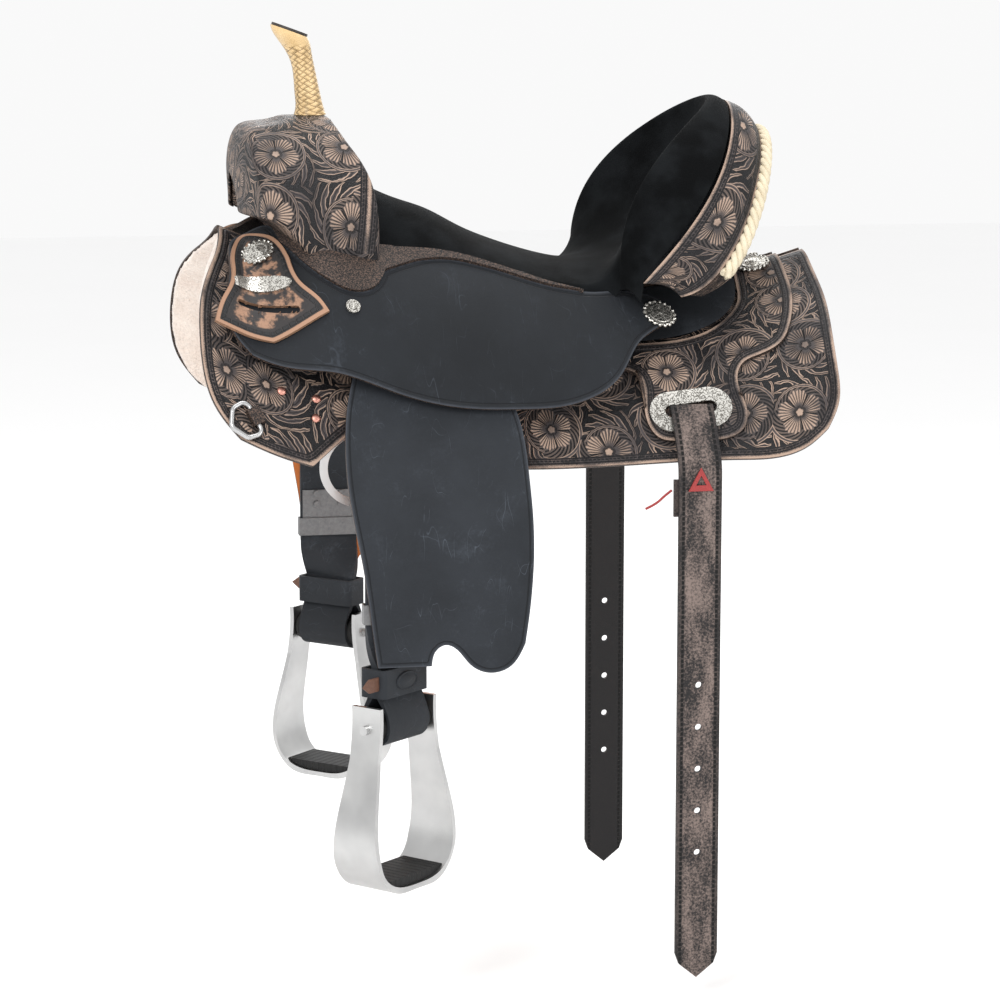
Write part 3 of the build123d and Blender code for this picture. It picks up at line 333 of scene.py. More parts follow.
def on_back(x, s, t):
    """Places on the near side at station x, s down the arch and t above the underside."""
    x, s, t = np.broadcast_arrays(np.asarray(x, float), np.asarray(s, float), np.asarray(t, float))
    a = np.where(s < RUN_1, s / RIDGE, np.clip(RIDGE_TURN + (s - RUN_2) / RIB, RIDGE_TURN, FLANK_TURN))
    shoulder = s - RUN_1
    flank = s - RUN_3
    where = [s < RUN_1, s < RUN_2, s < RUN_3]
    half = np.select(where, [(RIDGE + t) * np.sin(a),
                             BEND_1[0] + shoulder * math.cos(RIDGE_TURN) + t * math.sin(RIDGE_TURN),
                             RIB_MIDDLE[0] + (RIB + t) * np.sin(a)],
                     BEND_3[0] + flank * math.cos(FLANK_TURN) + t * math.sin(FLANK_TURN))
    high = np.select(where, [(RIDGE + t) * np.cos(a) - RIDGE,
                             BEND_1[1] - shoulder * math.sin(RIDGE_TURN) + t * math.cos(RIDGE_TURN),
                             RIB_MIDDLE[1] + (RIB + t) * np.cos(a)],
                     BEND_3[1] - flank * math.sin(FLANK_TURN) + t * math.cos(FLANK_TURN))
    return np.stack([x, -half, ROCK - np.sqrt((ROCK - high) ** 2 - x ** 2)], axis=-1)


def down_the_arch(points, rise):
    """Side-view points (x, z) as (x, s) on a layer whose height over the form is rise(x, s)."""
    points = np.asarray(points, float)
    low = np.zeros(len(points))
    high = np.full(len(points), RUN_3 + FLANK_RUN)
    for _ in range(40):
        s = (low + high) / 2
        above = on_back(points[:, 0], s, rise(points[:, 0], s))[:, 2] > points[:, 1]
        low = np.where(above, s, low)
        high = np.where(above, high, s)
    return np.stack([points[:, 0], s], axis=1)


def smooth_line(points, count=160):
    """A smooth line through points: a natural cubic over the chord length."""
    points = np.asarray(points, float)
    if len(points) == 2:
        return points[0] + (points[1] - points[0]) * np.linspace(0, 1, count)[:, None]
    knots = np.concatenate([[0], np.cumsum(np.linalg.norm(np.diff(points, axis=0), axis=1))])
    gaps = np.diff(knots)
    n = len(points)
    system = np.eye(n)
    load = np.zeros((n, points.shape[1]))
    for i in range(1, n - 1):
        system[i, i - 1:i + 2] = (gaps[i - 1], 2 * (gaps[i - 1] + gaps[i]), gaps[i])
        load[i] = 6 * ((points[i + 1] - points[i]) / gaps[i] - (points[i] - points[i - 1]) / gaps[i - 1])
    bend = np.linalg.solve(system, load)
    at = np.linspace(0, knots[-1], count)
    i = np.clip(np.searchsorted(knots, at, side="right") - 1, 0, n - 2)
    p = ((at - knots[i]) / gaps[i])[:, None]
    g = gaps[i][:, None]
    curve = points[i] * (1 - p) + points[i + 1] * p
    return curve + ((p ** 3 - p) * bend[i + 1] + ((1 - p) ** 3 - (1 - p)) * bend[i]) * g ** 2 / 6


def along(runs, count):
    """Even places along runs that follow each other, each run a smooth line."""
    line = np.concatenate([smooth_line(run) for run in runs])
    keep = np.concatenate([[True], np.linalg.norm(np.diff(line, axis=0), axis=1) > 1e-6])
    line = line[keep]
    reach = np.concatenate([[0], np.cumsum(np.linalg.norm(np.diff(line, axis=0), axis=1))])
    at = np.linspace(0, reach[-1], count)
    return np.stack([np.interp(at, reach, line[:, k]) for k in range(line.shape[1])], axis=1)


def fill_cut(bottom, right, top, left, nu, nv):
    """Flat coordinates of a grid that fills a cut between its four sides."""
    b, t = along(bottom, nu + 1), along(top, nu + 1)
    l, r = along(left, nv + 1), along(right, nv + 1)
    u = np.linspace(0, 1, nu + 1)[:, None, None]
    v = np.linspace(0, 1, nv + 1)[None, :, None]
    sheet = (1 - v) * b[:, None] + v * t[:, None] + (1 - u) * l[None] + u * r[None]
    sheet -= (1 - u) * (1 - v) * b[0] + u * (1 - v) * b[-1] + (1 - u) * v * t[0] + u * v * t[-1]
    return sheet, np.concatenate([b, r[1:], t[::-1][1:], l[::-1][1:-1]])


def leather(name, sheet, border, place, thick, finishes, sign, hole=None, outward=(0, -1, 0.4)):
    """A leather piece: a grid laid in flat coordinates, placed, and given its thickness."""
    nu, nv = sheet.shape[0] - 1, sheet.shape[1] - 1
    bm = bmesh.new()
    bmesh.ops.create_grid(bm, x_segments=nu, y_segments=nv, size=0.5)
    mesh = bpy.data.meshes.new(name)
    bm.to_mesh(mesh)
    bm.free()
    grid = points_of(mesh)
    i = np.rint((grid[:, 0] + 0.5) * nu).astype(int)
    j = np.rint((grid[:, 1] + 0.5) * nv).astype(int)
    flat = sheet[i, j].copy()
    if hole is not None:
        middle, turn, half_length, radius = hole
        ca, sa = math.cos(turn), math.sin(turn)
        rel = flat - middle
        lx, ly = rel @ (ca, sa), rel @ (-sa, ca)
        cx = np.clip(lx, -(half_length - radius), half_length - radius)
        gap = np.hypot(lx - cx, ly)
        pull = gap - radius
        cell = np.linalg.norm(sheet[1, 0] - sheet[0, 0]) * 0.8
        near = (np.abs(pull) < cell) & (gap > 0.2)
        lx = np.where(near, cx + (lx - cx) / np.maximum(gap, 1e-6) * radius, lx)
        ly = np.where(near, ly / np.maximum(gap, 1e-6) * radius, ly)
        flat = np.array(middle) + np.stack([lx * ca - ly * sa, lx * sa + ly * ca], axis=1)
        inner = gap < radius - cell
    if border is None:
        edge = np.full((len(flat), 2), 100.0)
    else:
        reach = np.concatenate([[0], np.cumsum(np.linalg.norm(np.diff(border, axis=0), axis=1))])
        edge = np.zeros((len(flat), 2))
        for part in range(0, len(flat), 4000):
            far = np.linalg.norm(flat[part:part + 4000, None] - border[None], axis=2)
            best = far.argmin(axis=1)
            edge[part:part + 4000, 0] = reach[best]
            edge[part:part + 4000, 1] = far[np.arange(len(best)), best]
    spots = place(flat[:, 0], flat[:, 1]) * MM
    spots[:, 1] *= -sign
    move_to(mesh, spots)
    corner = np.zeros(len(mesh.loops), dtype=np.int64)
    mesh.loops.foreach_get("vertex_index", corner)
    for label, values in (("flat", flat), ("edge", edge)):
        layer = mesh.uv_layers.new(name=label)
        layer.data.foreach_set("uv", (values[corner] * MM).ravel())
    if hole is not None:
        bm = bmesh.new()
        bm.from_mesh(mesh)
        bm.verts.ensure_lookup_table()
        bmesh.ops.delete(bm, geom=[f for f in bm.faces if any(inner[v.index] for v in f.verts)], context="FACES")
        bm.to_mesh(mesh)
        bm.free()
    facing = Vector((outward[0], -outward[1] * sign, outward[2]))
    if sum(f.normal.dot(facing) * f.area for f in mesh.polygons) < 0:
        mesh.flip_normals()
    shade_smooth(mesh)
    for finish in finishes:
        mesh.materials.append(finish)
    piece = bpy.data.objects.new(name, mesh)
    bpy.context.collection.objects.link(piece)
    if thick:
        wall = piece.modifiers.new("wall", "SOLIDIFY")
        wall.thickness = thick * MM
        wall.offset = -1
        wall.material_offset_rim = 1
        wall.material_offset = min(2, len(finishes) - 1)
        soft = piece.modifiers.new("edge", "BEVEL")
        soft.width = 0.9 * MM
        soft.segments = 2
        soft.limit_method = "ANGLE"
        soft.angle_limit = math.radians(50)
        soft.harden_normals = True
    return piece


def carved(finish, place):
    """Height and rub of carved flowers, scroll stems and leaves around each flower."""
    pitch = 0.067
    cell = finish.node("ShaderNodeTexVoronoi", {"voronoi_dimensions": "2D", "feature": "F1"},
                       {"Vector": place, "Scale": 1 / pitch, "Randomness": 0.56})
    rim_cell = finish.node("ShaderNodeTexVoronoi", {"voronoi_dimensions": "2D", "feature": "DISTANCE_TO_EDGE"},
                           {"Vector": place, "Scale": 1 / pitch, "Randomness": 0.56})
    to_rim = Value(finish, rim_cell.outputs["Distance"])
    local = finish.node("ShaderNodeVectorMath", {"operation": "SUBTRACT"},
                        {0: place, 1: cell.outputs["Position"]}).outputs[0]
    lx, ly, _ = finish.split(local)
    r = Value(finish, cell.outputs["Distance"]) * pitch
    chance, chance_2, _ = finish.split(cell.outputs["Color"])
    wobble = finish.noise(place, 60.0, 2.0) - 0.5
    turn = finish.maths("ARCTAN2", ly, lx) + chance * 6.2832
    petal = abs(finish.maths("COSINE", turn * 2.5))
    size = 0.0215 + 0.004 * chance_2
    q = r / (size * (0.72 + 0.28 * petal ** 0.55 + 0.035 * finish.maths("SINE", turn * 24.0)))
    inside = finish.step(q, 1.04, 0.94)
    veins = 0.5 + 0.5 * finish.maths("SINE", turn * 38.0 + wobble * 5.0)
    streak = finish.step(q, 0.28, 0.62) * finish.step(q, 1.02, 0.9)
    eye = finish.step(q, 0.19, 0.14)
    eye_ring = finish.step(abs(q - 0.235), 0.06, 0.02)
    gap = finish.step(petal, 0.26, 0.06) * finish.step(q, 0.25, 0.42)
    flower = inside * (0.5 + 0.3 * q) - streak * veins * 0.42 - gap * 0.5 * inside + eye * 0.5 - eye_ring * 0.35
    flower_rub = inside * (streak * (1 - veins) * 0.95 + eye * 0.7 + 0.18) * (1 - gap * 0.8)
    spin = finish.maths("FRACT", turn * (1 / 6.2832) + 10.0)
    stem_at = 0.0255 + 0.0070 * spin
    stem_off = abs(r - stem_at) / (0.0011 + 0.0013 * spin)
    stem = finish.step(stem_off, 1.1, 0.7) * (1 - inside)
    stem_rub = stem * finish.step(stem_off, 0.25, 0.6) * 0.75
    outside = finish.step(r - stem_at, 0.0016, 0.0028) * (1 - inside)
    sweep = finish.maths("FRACT", turn * (13.0 / 6.2832) + r * 95.0 + wobble * 0.9 + 20.0)
    lean = abs(sweep - 0.45) * 2.1
    tip = 0.35 + 0.5 * finish.step(to_rim, 0.0, 0.2)
    blade = finish.step(lean - tip, 0.06, -0.14) * outside
    rib = finish.step(lean, 0.16, 0.03)
    blade_rub = blade * finish.step(abs(lean - tip + 0.22), 0.2, 0.03) * 0.85
    small = finish.maths("FRACT", turn * (26.0 / 6.2832) - r * 240.0 + 20.0)
    inner_leaf = finish.step(abs(small - 0.5), 0.42, 0.2) * (1 - inside) * (1 - outside) * (1 - stem)
    height = flower + stem * 0.75 + blade * (0.72 - rib * 0.4) + inner_leaf * 0.45
    rub = flower_rub + stem_rub + blade_rub + inner_leaf * 0.28
    return height, rub


def tooled(name, wear=1.0):
    """Carved leather with a creased, stitched border, dyed black and rubbed to tan."""
    finish = Finish(name)
    place = finish.map("flat")
    run, inset, _ = finish.split(finish.map("edge"))
    height, rub = carved(finish, place)
    field = finish.step(inset, 0.0098, 0.0112)
    crease = finish.step(abs(inset - 0.0046), 0.0009, 0.0003) + finish.step(abs(inset - 0.0098), 0.0010, 0.0003)
    dash = finish.maths("FRACT", run * (1 / 0.0042))
    stitch = finish.step(abs(dash - 0.5), 0.42, 0.30) * finish.step(abs(inset - 0.0072), 0.0011, 0.0006)
    mat_dots = Value(finish, finish.cells(place, 620.0).outputs["Distance"])
    grain = finish.noise(place, 900.0, 4.0)
    cloud = finish.noise(place, 17.0, 3.0)
    patch = finish.step(cloud, 0.30, 0.68)
    border_rub = (1 - field) * (finish.step(inset, 0.0042, 0.0010) * 0.85 + 0.30 * finish.step(grain, 0.45, 0.6))
    worn = (field * rub + border_rub * (1 - stitch) * (1 - crease)) * (0.30 + 0.95 * patch) * wear
    worn = worn * (0.65 + 0.6 * grain)
    low = finish.step(height, 0.35, 0.05) * field
    dark = finish.colour(grain, (0.010, 0.009, 0.0095, 1), (0.034, 0.030, 0.031, 1))
    raised = finish.colour(finish.step(height, 0.2, 0.8), dark, (0.052, 0.044, 0.044, 1))
    tone = finish.colour(finish.step(worn, 0.06, 0.95), raised, (0.37, 0.265, 0.205, 1))
    tone = finish.colour(finish.maths("MAXIMUM", low * 0.85, finish.maths("MAXIMUM", stitch, crease) * 0.9),
                         tone, (0.006, 0.006, 0.007, 1))
    relief = (height * field + (1 - field) * 0.62 - crease * 0.5 + stitch * 0.25 - low * mat_dots * 0.35
              + grain * 0.10)
    return finish.paint(tone, 0.36 + 0.22 * grain, relief, 0.0019, coat=0.03, gloss=0.22)


skirt_carving = tooled("carved_leather")
edge_finish = Finish("burnished_edge")
edge_grain = edge_finish.noise(edge_finish.place(), 700.0, 4.0)
edge_tone = edge_finish.colour(edge_finish.step(edge_grain, 0.42, 0.66), (0.010, 0.009, 0.009, 1),
                               (0.11, 0.072, 0.055, 1))
leather_edge = edge_finish.paint(edge_tone, 0.55, edge_grain, 0.0004, gloss=0.25)


def skirt_rise(x, s):
    return np.full(np.shape(s), SKIRT_TOP)


def skirt_points(points):
    return down_the_arch(points, skirt_rise)


skirt_low = [skirt_points([(-361, -98), (-320, -117), (-290, -127)]),
             skirt_points([(-290, -127), (-258, -104), (-222, -84), (-170, -78), (-120, -90), (-95, -118),
                           (-72, -138)]),
             skirt_points([(-72, -138), (40, -137), (150, -134), (193, -132), (223, -122), (246, -105)])]
skirt_rear = [np.vstack([skirt_points([(246, -105), (260, -80), (264, -50), (266, -17), (270, 20), (270, 45)]),
                         [(269.8, 5)]])]
skirt_front = [np.vstack([skirt_points([(-361, -98), (-384, -67), (-395, -23), (-395, 5), (-392, 30), (-383, 53),
                                        (-366, 78)]), [(-359, 5)]])]
skirt_ridge = [np.array([(-359.0, 5.0), (269.8, 5.0)])]
skirt_sheet, skirt_border = fill_cut(skirt_low, skirt_rear, skirt_ridge, skirt_front, 300, 90)
fine_border = along([skirt_border], 1600)

for side, sign in SIDES.items():
    skirt = leather("carved_skirt_" + side, skirt_sheet, fine_border, lambda x, s: on_back(x, s, SKIRT_TOP), 4.4,
                    [skirt_carving, leather_edge], sign)
    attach(skirt, "saddle")
    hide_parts("skirt_" + side)

# ---- rear jockeys ----------------------------------------------------------------------
# Behind the seat a second carved layer lies on each skirt, with a lobe that carries the
# silver flank plate; the billet comes out of the slot under that plate.
HOUSING_TOP = SKIRT_TOP + 0.3 + 4.2


def housing_rise(x, s):
    return np.full(np.shape(s), HOUSING_TOP)


def housing_points(points):
    return down_the_arch(points, housing_rise)


housing_low = [housing_points([(10, -44), (40, -47), (54, -51), (60, -64), (58, -80), (59, -98), (68, -111),
                               (88, -115)]),
               housing_points([(88, -115), (125, -115)]),
               housing_points([(125, -115), (146, -111), (158, -103), (163, -86), (159, -68), (160, -52), (168, -42),
                               (185, -35)]),
               np.vstack([housing_points([(185, -35), (212, -22), (226, -4), (237, 20), (240, 42)]),
                          [(240, 5)]])]
housing_top = [np.vstack([housing_points([(10, -26), (60, -25), (144, -12), (180, 12), (186, 28)]), [(190, 5)]])]
housing_front = [housing_points([(10, -44), (10, -26)])]
housing_rear = [np.array([(240.0, 5.0), (190.0, 5.0)])]
housing_sheet, housing_border = fill_cut(housing_low, housing_rear, housing_top, housing_front, 190, 44)
housing_border = along([housing_border], 1100)
slot_middle = housing_points([(BILLET_X, -86)])[0]

for side, sign in SIDES.items():
    rear = leather("carved_rear_jockey_" + side, housing_sheet, housing_border,
                   lambda x, s: on_back(x, s, HOUSING_TOP), 3.9, [skirt_carving, leather_edge], sign,
                   hole=(slot_middle, 0.0, 27.25, 7.0))
    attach(rear, "saddle")
    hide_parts("rear_jockey_" + side)

# ---- seat jockeys and fenders ----------------------------------------------------------
# Smooth oiled nubuck: the jockey runs from the fork to behind the rider's leg, and the
# fender hangs under it. The hide is charcoal blue, clouded, scuffed and scratched.
def nubuck(name, pale, place_map="flat", bordered=True):
    finish = Finish(name)
    place = finish.map(place_map) if place_map else finish.place()
    grain = finish.noise(place, 1500.0, 3.0)
    nap = finish.noise(place, 260.0, 5.0, 0.7)
    cloud = finish.noise(place, 9.0, 4.0)
    slow = finish.noise(place, 32.0, 5.0, 0.6)
    scratch_lines = abs(finish.noise(place, 21.0, 1.5, 0.4) - 0.5)
    scratch_2 = abs(finish.noise(finish.node("ShaderNodeMapping", {}, {
        "Vector": place, "Rotation": (0, 0, 0.9), "Scale": (1.0, 0.22, 1.0), "Location": (0.3, 0.1, 0)}).outputs[0],
        55.0, 1.0, 0.3) - 0.5)
    scratches = finish.step(scratch_lines, 0.0035, 0.0008) * 0.6 + finish.step(scratch_2, 0.004, 0.001)
    scratches = scratches * finish.step(slow, 0.48, 0.62)
    scuff = finish.step(slow * 0.6 + nap * 0.4, 0.50, 0.72) * finish.step(cloud, 0.35, 0.7)
    dark = tuple(0.55 * c for c in pale[:3]) + (1,)
    tone = finish.colour(finish.step(cloud, 0.3, 0.7), dark, pale)
    tone = finish.colour(scuff * 0.5 + scratches * 0.55 + nap * 0.12, tone, tuple(3.4 * c for c in pale[:3]) + (1,))
    relief = grain * 0.35 + nap * 0.6 - scratches * 0.5
    if bordered:
        run, inset, _ = finish.split(finish.map("edge"))
        line = finish.step(abs(inset - 0.0042), 0.0009, 0.0003)
        rim = finish.step(inset, 0.0026, 0.0004)
        tone = finish.colour(line * 0.8, tone, (0.006, 0.007, 0.009, 1))
        tone = finish.colour(rim * 0.35, tone, (0.09, 0.10, 0.12, 1))
        relief = relief - line * 2.0 - rim * 1.5
    return finish.paint(tone, 0.55 + 0.22 * nap, relief, 0.00035, sheen=0.03, gloss=0.2)


jockey_hide = nubuck("oiled_nubuck", (0.0105, 0.0124, 0.0155, 1))
fender_hide = nubuck("scuffed_nubuck", (0.0190, 0.0220, 0.0270, 1))


def easing(value):
    value = np.clip(value, 0, 1)
    return value * value * (3 - 2 * value)


def jockey_rise(x, s):
    full = 100.0 - 0.29 * (s - RUN_2 + 24)
    full = full * (1 - 0.42 * easing((x + 20) / 130))
    share = easing((x + 352) / 95)
    return 34.0 + (full - 34.0) * share


def jockey_points(points):
    return down_the_arch(points, jockey_rise)


jockey_low = [jockey_points([(-345, -19), (-314, -30), (-250, -39), (-203, -57), (-151, -71), (-115, -75), (-77, -76),
                             (-14, -70), (30, -47), (55, -18), (78, -6)])]
jockey_rear = [jockey_points([(78, -6), (94, 6), (92, 16), (76, 25)])]
jockey_seam = [jockey_points([(-305, 84), (-285, 66), (-258, 47), (-224, 41), (-214, 46), (-205, 58)]),
               jockey_points([(-205, 58), (-178, 64), (-136, 66), (-95, 57), (-45, 42), (10, 32), (50, 30),
                              (76, 25)])]
jockey_front = [jockey_points([(-345, -19), (-362, 2), (-366, 34), (-358, 66), (-345, 88), (-325, 97), (-305, 84)])]
jockey_sheet, jockey_border = fill_cut(jockey_low, jockey_rear, jockey_seam, jockey_front, 150, 50)
jockey_border = along([jockey_border], 1100)

FENDER_TURN = math.radians(62.0)
FENDER_OUT, FENDER_LEVEL, FENDER_BEND, FENDER_ROUND = 208.0, -75.0, -162.0, 140.0
bend_out = FENDER_OUT + (FENDER_LEVEL - FENDER_BEND) / math.tan(FENDER_TURN)
fender_axis = (bend_out - FENDER_ROUND * math.sin(FENDER_TURN), FENDER_BEND - FENDER_ROUND * math.cos(FENDER_TURN))
FENDER_FACE = fender_axis[0] + FENDER_ROUND


def hang(x, z):
    """Places on the fender's face, which slants out, bends and then hangs upright."""
    slant = FENDER_OUT + (FENDER_LEVEL - z) / math.tan(FENDER_TURN)
    drop = np.clip(z - fender_axis[1], 0, FENDER_ROUND)
    bent = fender_axis[0] + np.sqrt(FENDER_ROUND ** 2 - drop ** 2)
    half = np.where(z > FENDER_BEND, slant, np.where(z > fender_axis[1], bent, FENDER_FACE))
    return np.stack([x, -half, z], axis=-1)


fender_low = [np.array([(-233.0, -325.0), (-179.0, -325.0)]),
              np.array([(-179, -325), (-175, -310), (-165, -304), (-155, -308), (-140, -325), (-120, -334),
                        (-99, -328), (-84, -305)], float)]
fender_rear = [np.array([(-84, -305), (-79, -269), (-75, -207), (-75, -137), (-82, -79), (-94, -52)], float)]
fender_top = [np.array([(-243, -36), (-222, -12), (-185, 2), (-150, -2), (-115, -24), (-94, -52)], float)]
fender_front = [np.array([(-233, -325), (-238, -290), (-246, -230), (-257, -160), (-258, -110), (-253, -70),
                          (-243, -36)], float)]
fender_sheet, fender_border = fill_cut(fender_low, fender_rear, fender_top, fender_front, 80, 120)
fender_border = along([fender_border], 1000)

flesh_finish = Finish("tan_flesh_side")
flesh_grain = flesh_finish.noise(flesh_finish.place(), 320.0, 5.0, 0.65)
flesh_cloud = flesh_finish.noise(flesh_finish.place(), 22.0, 3.0)
flesh_tone = flesh_finish.colour(flesh_grain * 0.6 + flesh_cloud * 0.4, (0.34, 0.085, 0.018, 1),
                                 (0.66, 0.21, 0.05, 1))
flesh_side = flesh_finish.paint(flesh_tone, 0.75, flesh_grain, 0.0005)

for side, sign in SIDES.items():
    seat_jockey = leather("seat_jockey_hide_" + side, jockey_sheet, jockey_border,
                          lambda x, s: on_back(x, s, jockey_rise(x, s)), 3.8, [jockey_hide, leather_edge], sign)
    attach(seat_jockey, "saddle")
    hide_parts("seat_jockey_" + side)
    fender = leather("fender_hide_" + side, fender_sheet, fender_border, hang, 4.8,
                     [fender_hide, leather_edge, flesh_side], sign)
    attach(fender, "fender_" + side)
    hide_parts("fender_" + side)

# ---- seat ------------------------------------------------------------------------------
# Black suede over foam: one padded surface rises from the lowest place to the fork and up
# the dish of the cantle, rolls over its crest and is sewn down to the carved band.
SEAT_FRONT, SEAT_LOW, SEAT_HALF = -208.0, 10.0, 104.0
SEAT_DEEP, SEAT_RISE, SEAT_CURVE = 55.0, 82.0, 1.33
PAD_HUMP, PAD_BACK, PAD_SPREAD = 5.0, 150.0, 30.0
SEAM_LOW, SEAM_RISE, SEAM_RUN = 36.0, 33.0, 165.0
CREST = 0.88
HEM_FROM, FLOOR_HEM, DISH_HEM = 0.955, 9.0, 19.0


def seat_middle(x):
    run = np.clip((SEAT_LOW - x) / (SEAT_LOW - SEAT_FRONT), 0, None)
    hump = PAD_HUMP * np.exp(-((x - SEAT_LOW + PAD_BACK) / PAD_SPREAD) ** 2)
    return SEAT_DEEP + SEAT_RISE * run ** SEAT_CURVE + hump


def seat_seam(x):
    return SEAM_LOW + SEAM_RISE * (0.5 - 0.5 * np.cos(np.pi * (SEAT_LOW - x) / SEAM_RUN))


def cantle_crest(b):
    c = np.cos(np.abs(b) * np.pi / 2).clip(0)
    return np.stack([42 + 119 * c ** 1.95, 128 * np.sin(b * np.pi / 2), 51 + 174 * c ** 0.8], axis=-1)


def cantle_rim(b):
    c = np.cos(np.abs(b) * np.pi / 2).clip(1e-9)
    y = np.sign(b) * 155 * np.sin(np.abs(b) * np.pi / 2) ** 0.95
    return np.stack([58 + 122 * c ** (0.55 + 0.8 * (1 - c)), y, 41 + 181 * c ** 1.4], axis=-1)


def band_outer(b):
    c = np.cos(np.abs(b) * np.pi / 2).clip(0)
    y = np.sign(b) * 155 * np.sin(np.abs(b) * np.pi / 2) ** 0.95
    return np.stack([94 + 122 * c ** 0.75, y, 26 + 166 * c ** 1.6], axis=-1)


def seat_surface(a, b):
    """Places on the suede: a from the fork (0) over the seat (0.5) to the crest and rim (1)."""
    x = SEAT_FRONT + (SEAT_LOW - SEAT_FRONT) * np.clip(a / 0.5, 0, 1)
    y = b * (SEAT_HALF + 22.0 * easing(a / 0.5))
    z = seat_seam(x) + (seat_middle(x) - seat_seam(x)) * (1 - np.abs(b) ** 2.2)
    floor_part = np.stack([x, y, z], axis=-1)
    top = cantle_crest(b)
    q = np.clip((a - 0.5) / (CREST - 0.5), 0, 1) * np.pi / 2
    rise = (1 - np.cos(q)).clip(0)
    dish = np.stack([SEAT_LOW + (top[:, 0] - SEAT_LOW) * np.sin(q) ** 0.92, y + (top[:, 1] - y) * rise,
                     z + (top[:, 2] - z) * rise ** 0.95], axis=-1)
    end = cantle_rim(b)
    p = np.clip((a - CREST) / (1 - CREST), 0, 1)[:, None]
    swell = 0.16 * np.linalg.norm(end - top, axis=1)[:, None] * np.sin(np.pi * p)
    roll = top + (end - top) * p + swell * np.array([0, 0, 1])
    a = a[:, None]
    hem = np.clip((np.abs(b) - HEM_FROM) / (1 - HEM_FROM), 0, 1)[:, None] * np.where(a <= 0.5, FLOOR_HEM, DISH_HEM)
    suede_at = np.where(a <= 0.5, floor_part, np.where(a <= CREST, dish, roll))
    return suede_at - hem * np.array([0, 0, 1])


suede_finish = Finish("black_suede")
suede_place = suede_finish.place()
suede_nap = suede_finish.noise(suede_place, 520.0, 5.0, 0.7)
suede_brush = suede_finish.noise(suede_place, 24.0, 3.0)
suede_tone = suede_finish.colour(suede_finish.step(suede_brush, 0.35, 0.7), (0.0022, 0.0025, 0.0028, 1),
                                 (0.0075, 0.0085, 0.0095, 1))
suede = suede_finish.paint(suede_tone, 0.92, suede_nap, 0.0006, sheen=0.02, gloss=0.06)

seat_rows, seat_cols = 150, 96
row_at = np.linspace(0, 1, seat_rows + 1)
col_at = np.sin(np.pi * (np.linspace(0, 1, seat_cols + 1) - 0.5))
seat_sheet = np.stack(np.meshgrid(row_at, col_at, indexing="ij"), axis=-1)
seat = leather("suede_seat", seat_sheet, None, seat_surface, 0, [suede], -1, outward=(-0.6, 0, 1))
settle(seat, 3)
seat_wall = seat.modifiers.new("wall", "SOLIDIFY")
seat_wall.thickness = 2.0 * MM
seat_wall.offset = -1
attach(seat, "saddle")
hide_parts("seat_cover", "seat_foam")

# ---- cantle back, band and rope --------------------------------------------------------
# Carved leather covers the cantle's back and its rolled band, and a twisted ivory rope is
# sewn on under the band's outer edge.
def cantle_back_surface(q, b):
    edge = band_outer(b)
    c = np.cos(b * np.pi / 2)
    base = np.stack([118 + 78 * c ** 0.8, edge[:, 1] * 0.86, 22 + 40 * c], axis=-1)
    middle = base + (edge - base) * 0.5 + np.stack([-7 * c, 0 * c, 0 * c], axis=-1)
    q = q[:, None]
    return base * (1 - q) ** 2 + middle * (2 * q * (1 - q)) + edge * q ** 2


def band_surface(q, b):
    start, end = cantle_rim(b), band_outer(b)
    out = np.stack([0.55 + 0 * b, 0.5 * b, 0.75 + 0 * b], axis=-1)
    swell = 0.14 * np.linalg.norm(end - start, axis=1)[:, None] * np.sin(np.pi * q)[:, None]
    return start + (end - start) * q[:, None] + out * swell


def wrap_panel(name, surface, q0, q1, reach, rows, cols, depth, length, thick, finishes, outward):
    """A curved cover from a surface of two shares, with its true size in its flat map."""
    q_at = np.linspace(0, depth, rows + 1)
    b_at = np.linspace(0, length, cols + 1)
    sheet = np.stack(np.meshgrid(q_at, b_at, indexing="ij"), axis=-1)
    border = along([[(0, 0), (depth, 0)], [(depth, 0), (depth, length)], [(depth, length), (0, length)],
                    [(0, length), (0, 0)]], 900)

    def place(d, run):
        return surface(q0 + (q1 - q0) * d / depth, reach * np.sin(np.pi * (run / length - 0.5)))

    return leather(name, sheet, border, place, thick, finishes, -1, outward=outward)


back_cover = wrap_panel("carved_cantle_back", cantle_back_surface, 0.0, 0.93, 0.955, 26, 110, 125.0, 420.0, 3.2,
                        [skirt_carving, leather_edge], (1, 0, 0.3))
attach(back_cover, "saddle")
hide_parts("cantle_back")
band_cover = wrap_panel("carved_cantle_band", band_surface, 0.03, 0.98, 0.985, 16, 150, 52.0, 560.0, 3.6,
                        [skirt_carving, leather_edge], (0.5, 0, 1))
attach(band_cover, "saddle")
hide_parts("cantle_band")

rope_finish = Finish("ivory_rope")
rope_fibre = rope_finish.noise(rope_finish.place((1, 1, 3)), 420.0, 4.0, 0.7)
rope_soil = rope_finish.noise(rope_finish.place(), 60.0, 3.0)
rope_tone = rope_finish.colour(rope_fibre * 0.5 + rope_soil * 0.5, (0.42, 0.33, 0.20, 1), (0.86, 0.79, 0.62, 1))
rope_material = rope_finish.paint(rope_tone, 0.7, rope_fibre, 0.0006)
rope_curve = bpy.data.curves.new("cantle_rope", "CURVE")
rope_curve.dimensions = "3D"
ROPE_END, ROPE_LAY = 0.8, 34.0
STRAND_RADIUS, STRAND_RING = 3.5, 3.6
rope_curve.bevel_depth = STRAND_RADIUS * MM
rope_curve.bevel_resolution = 3
rope_curve.use_fill_caps = True
rope_share = np.linspace(-ROPE_END, ROPE_END, 260)
rope_line = (band_outer(rope_share) + (4.2, 0, -4.0)) * MM
rope_dir = np.gradient(rope_line, axis=0)
rope_dir /= np.linalg.norm(rope_dir, axis=1)[:, None]
rope_reach = np.concatenate([[0], np.cumsum(np.linalg.norm(np.diff(rope_line, axis=0), axis=1))])
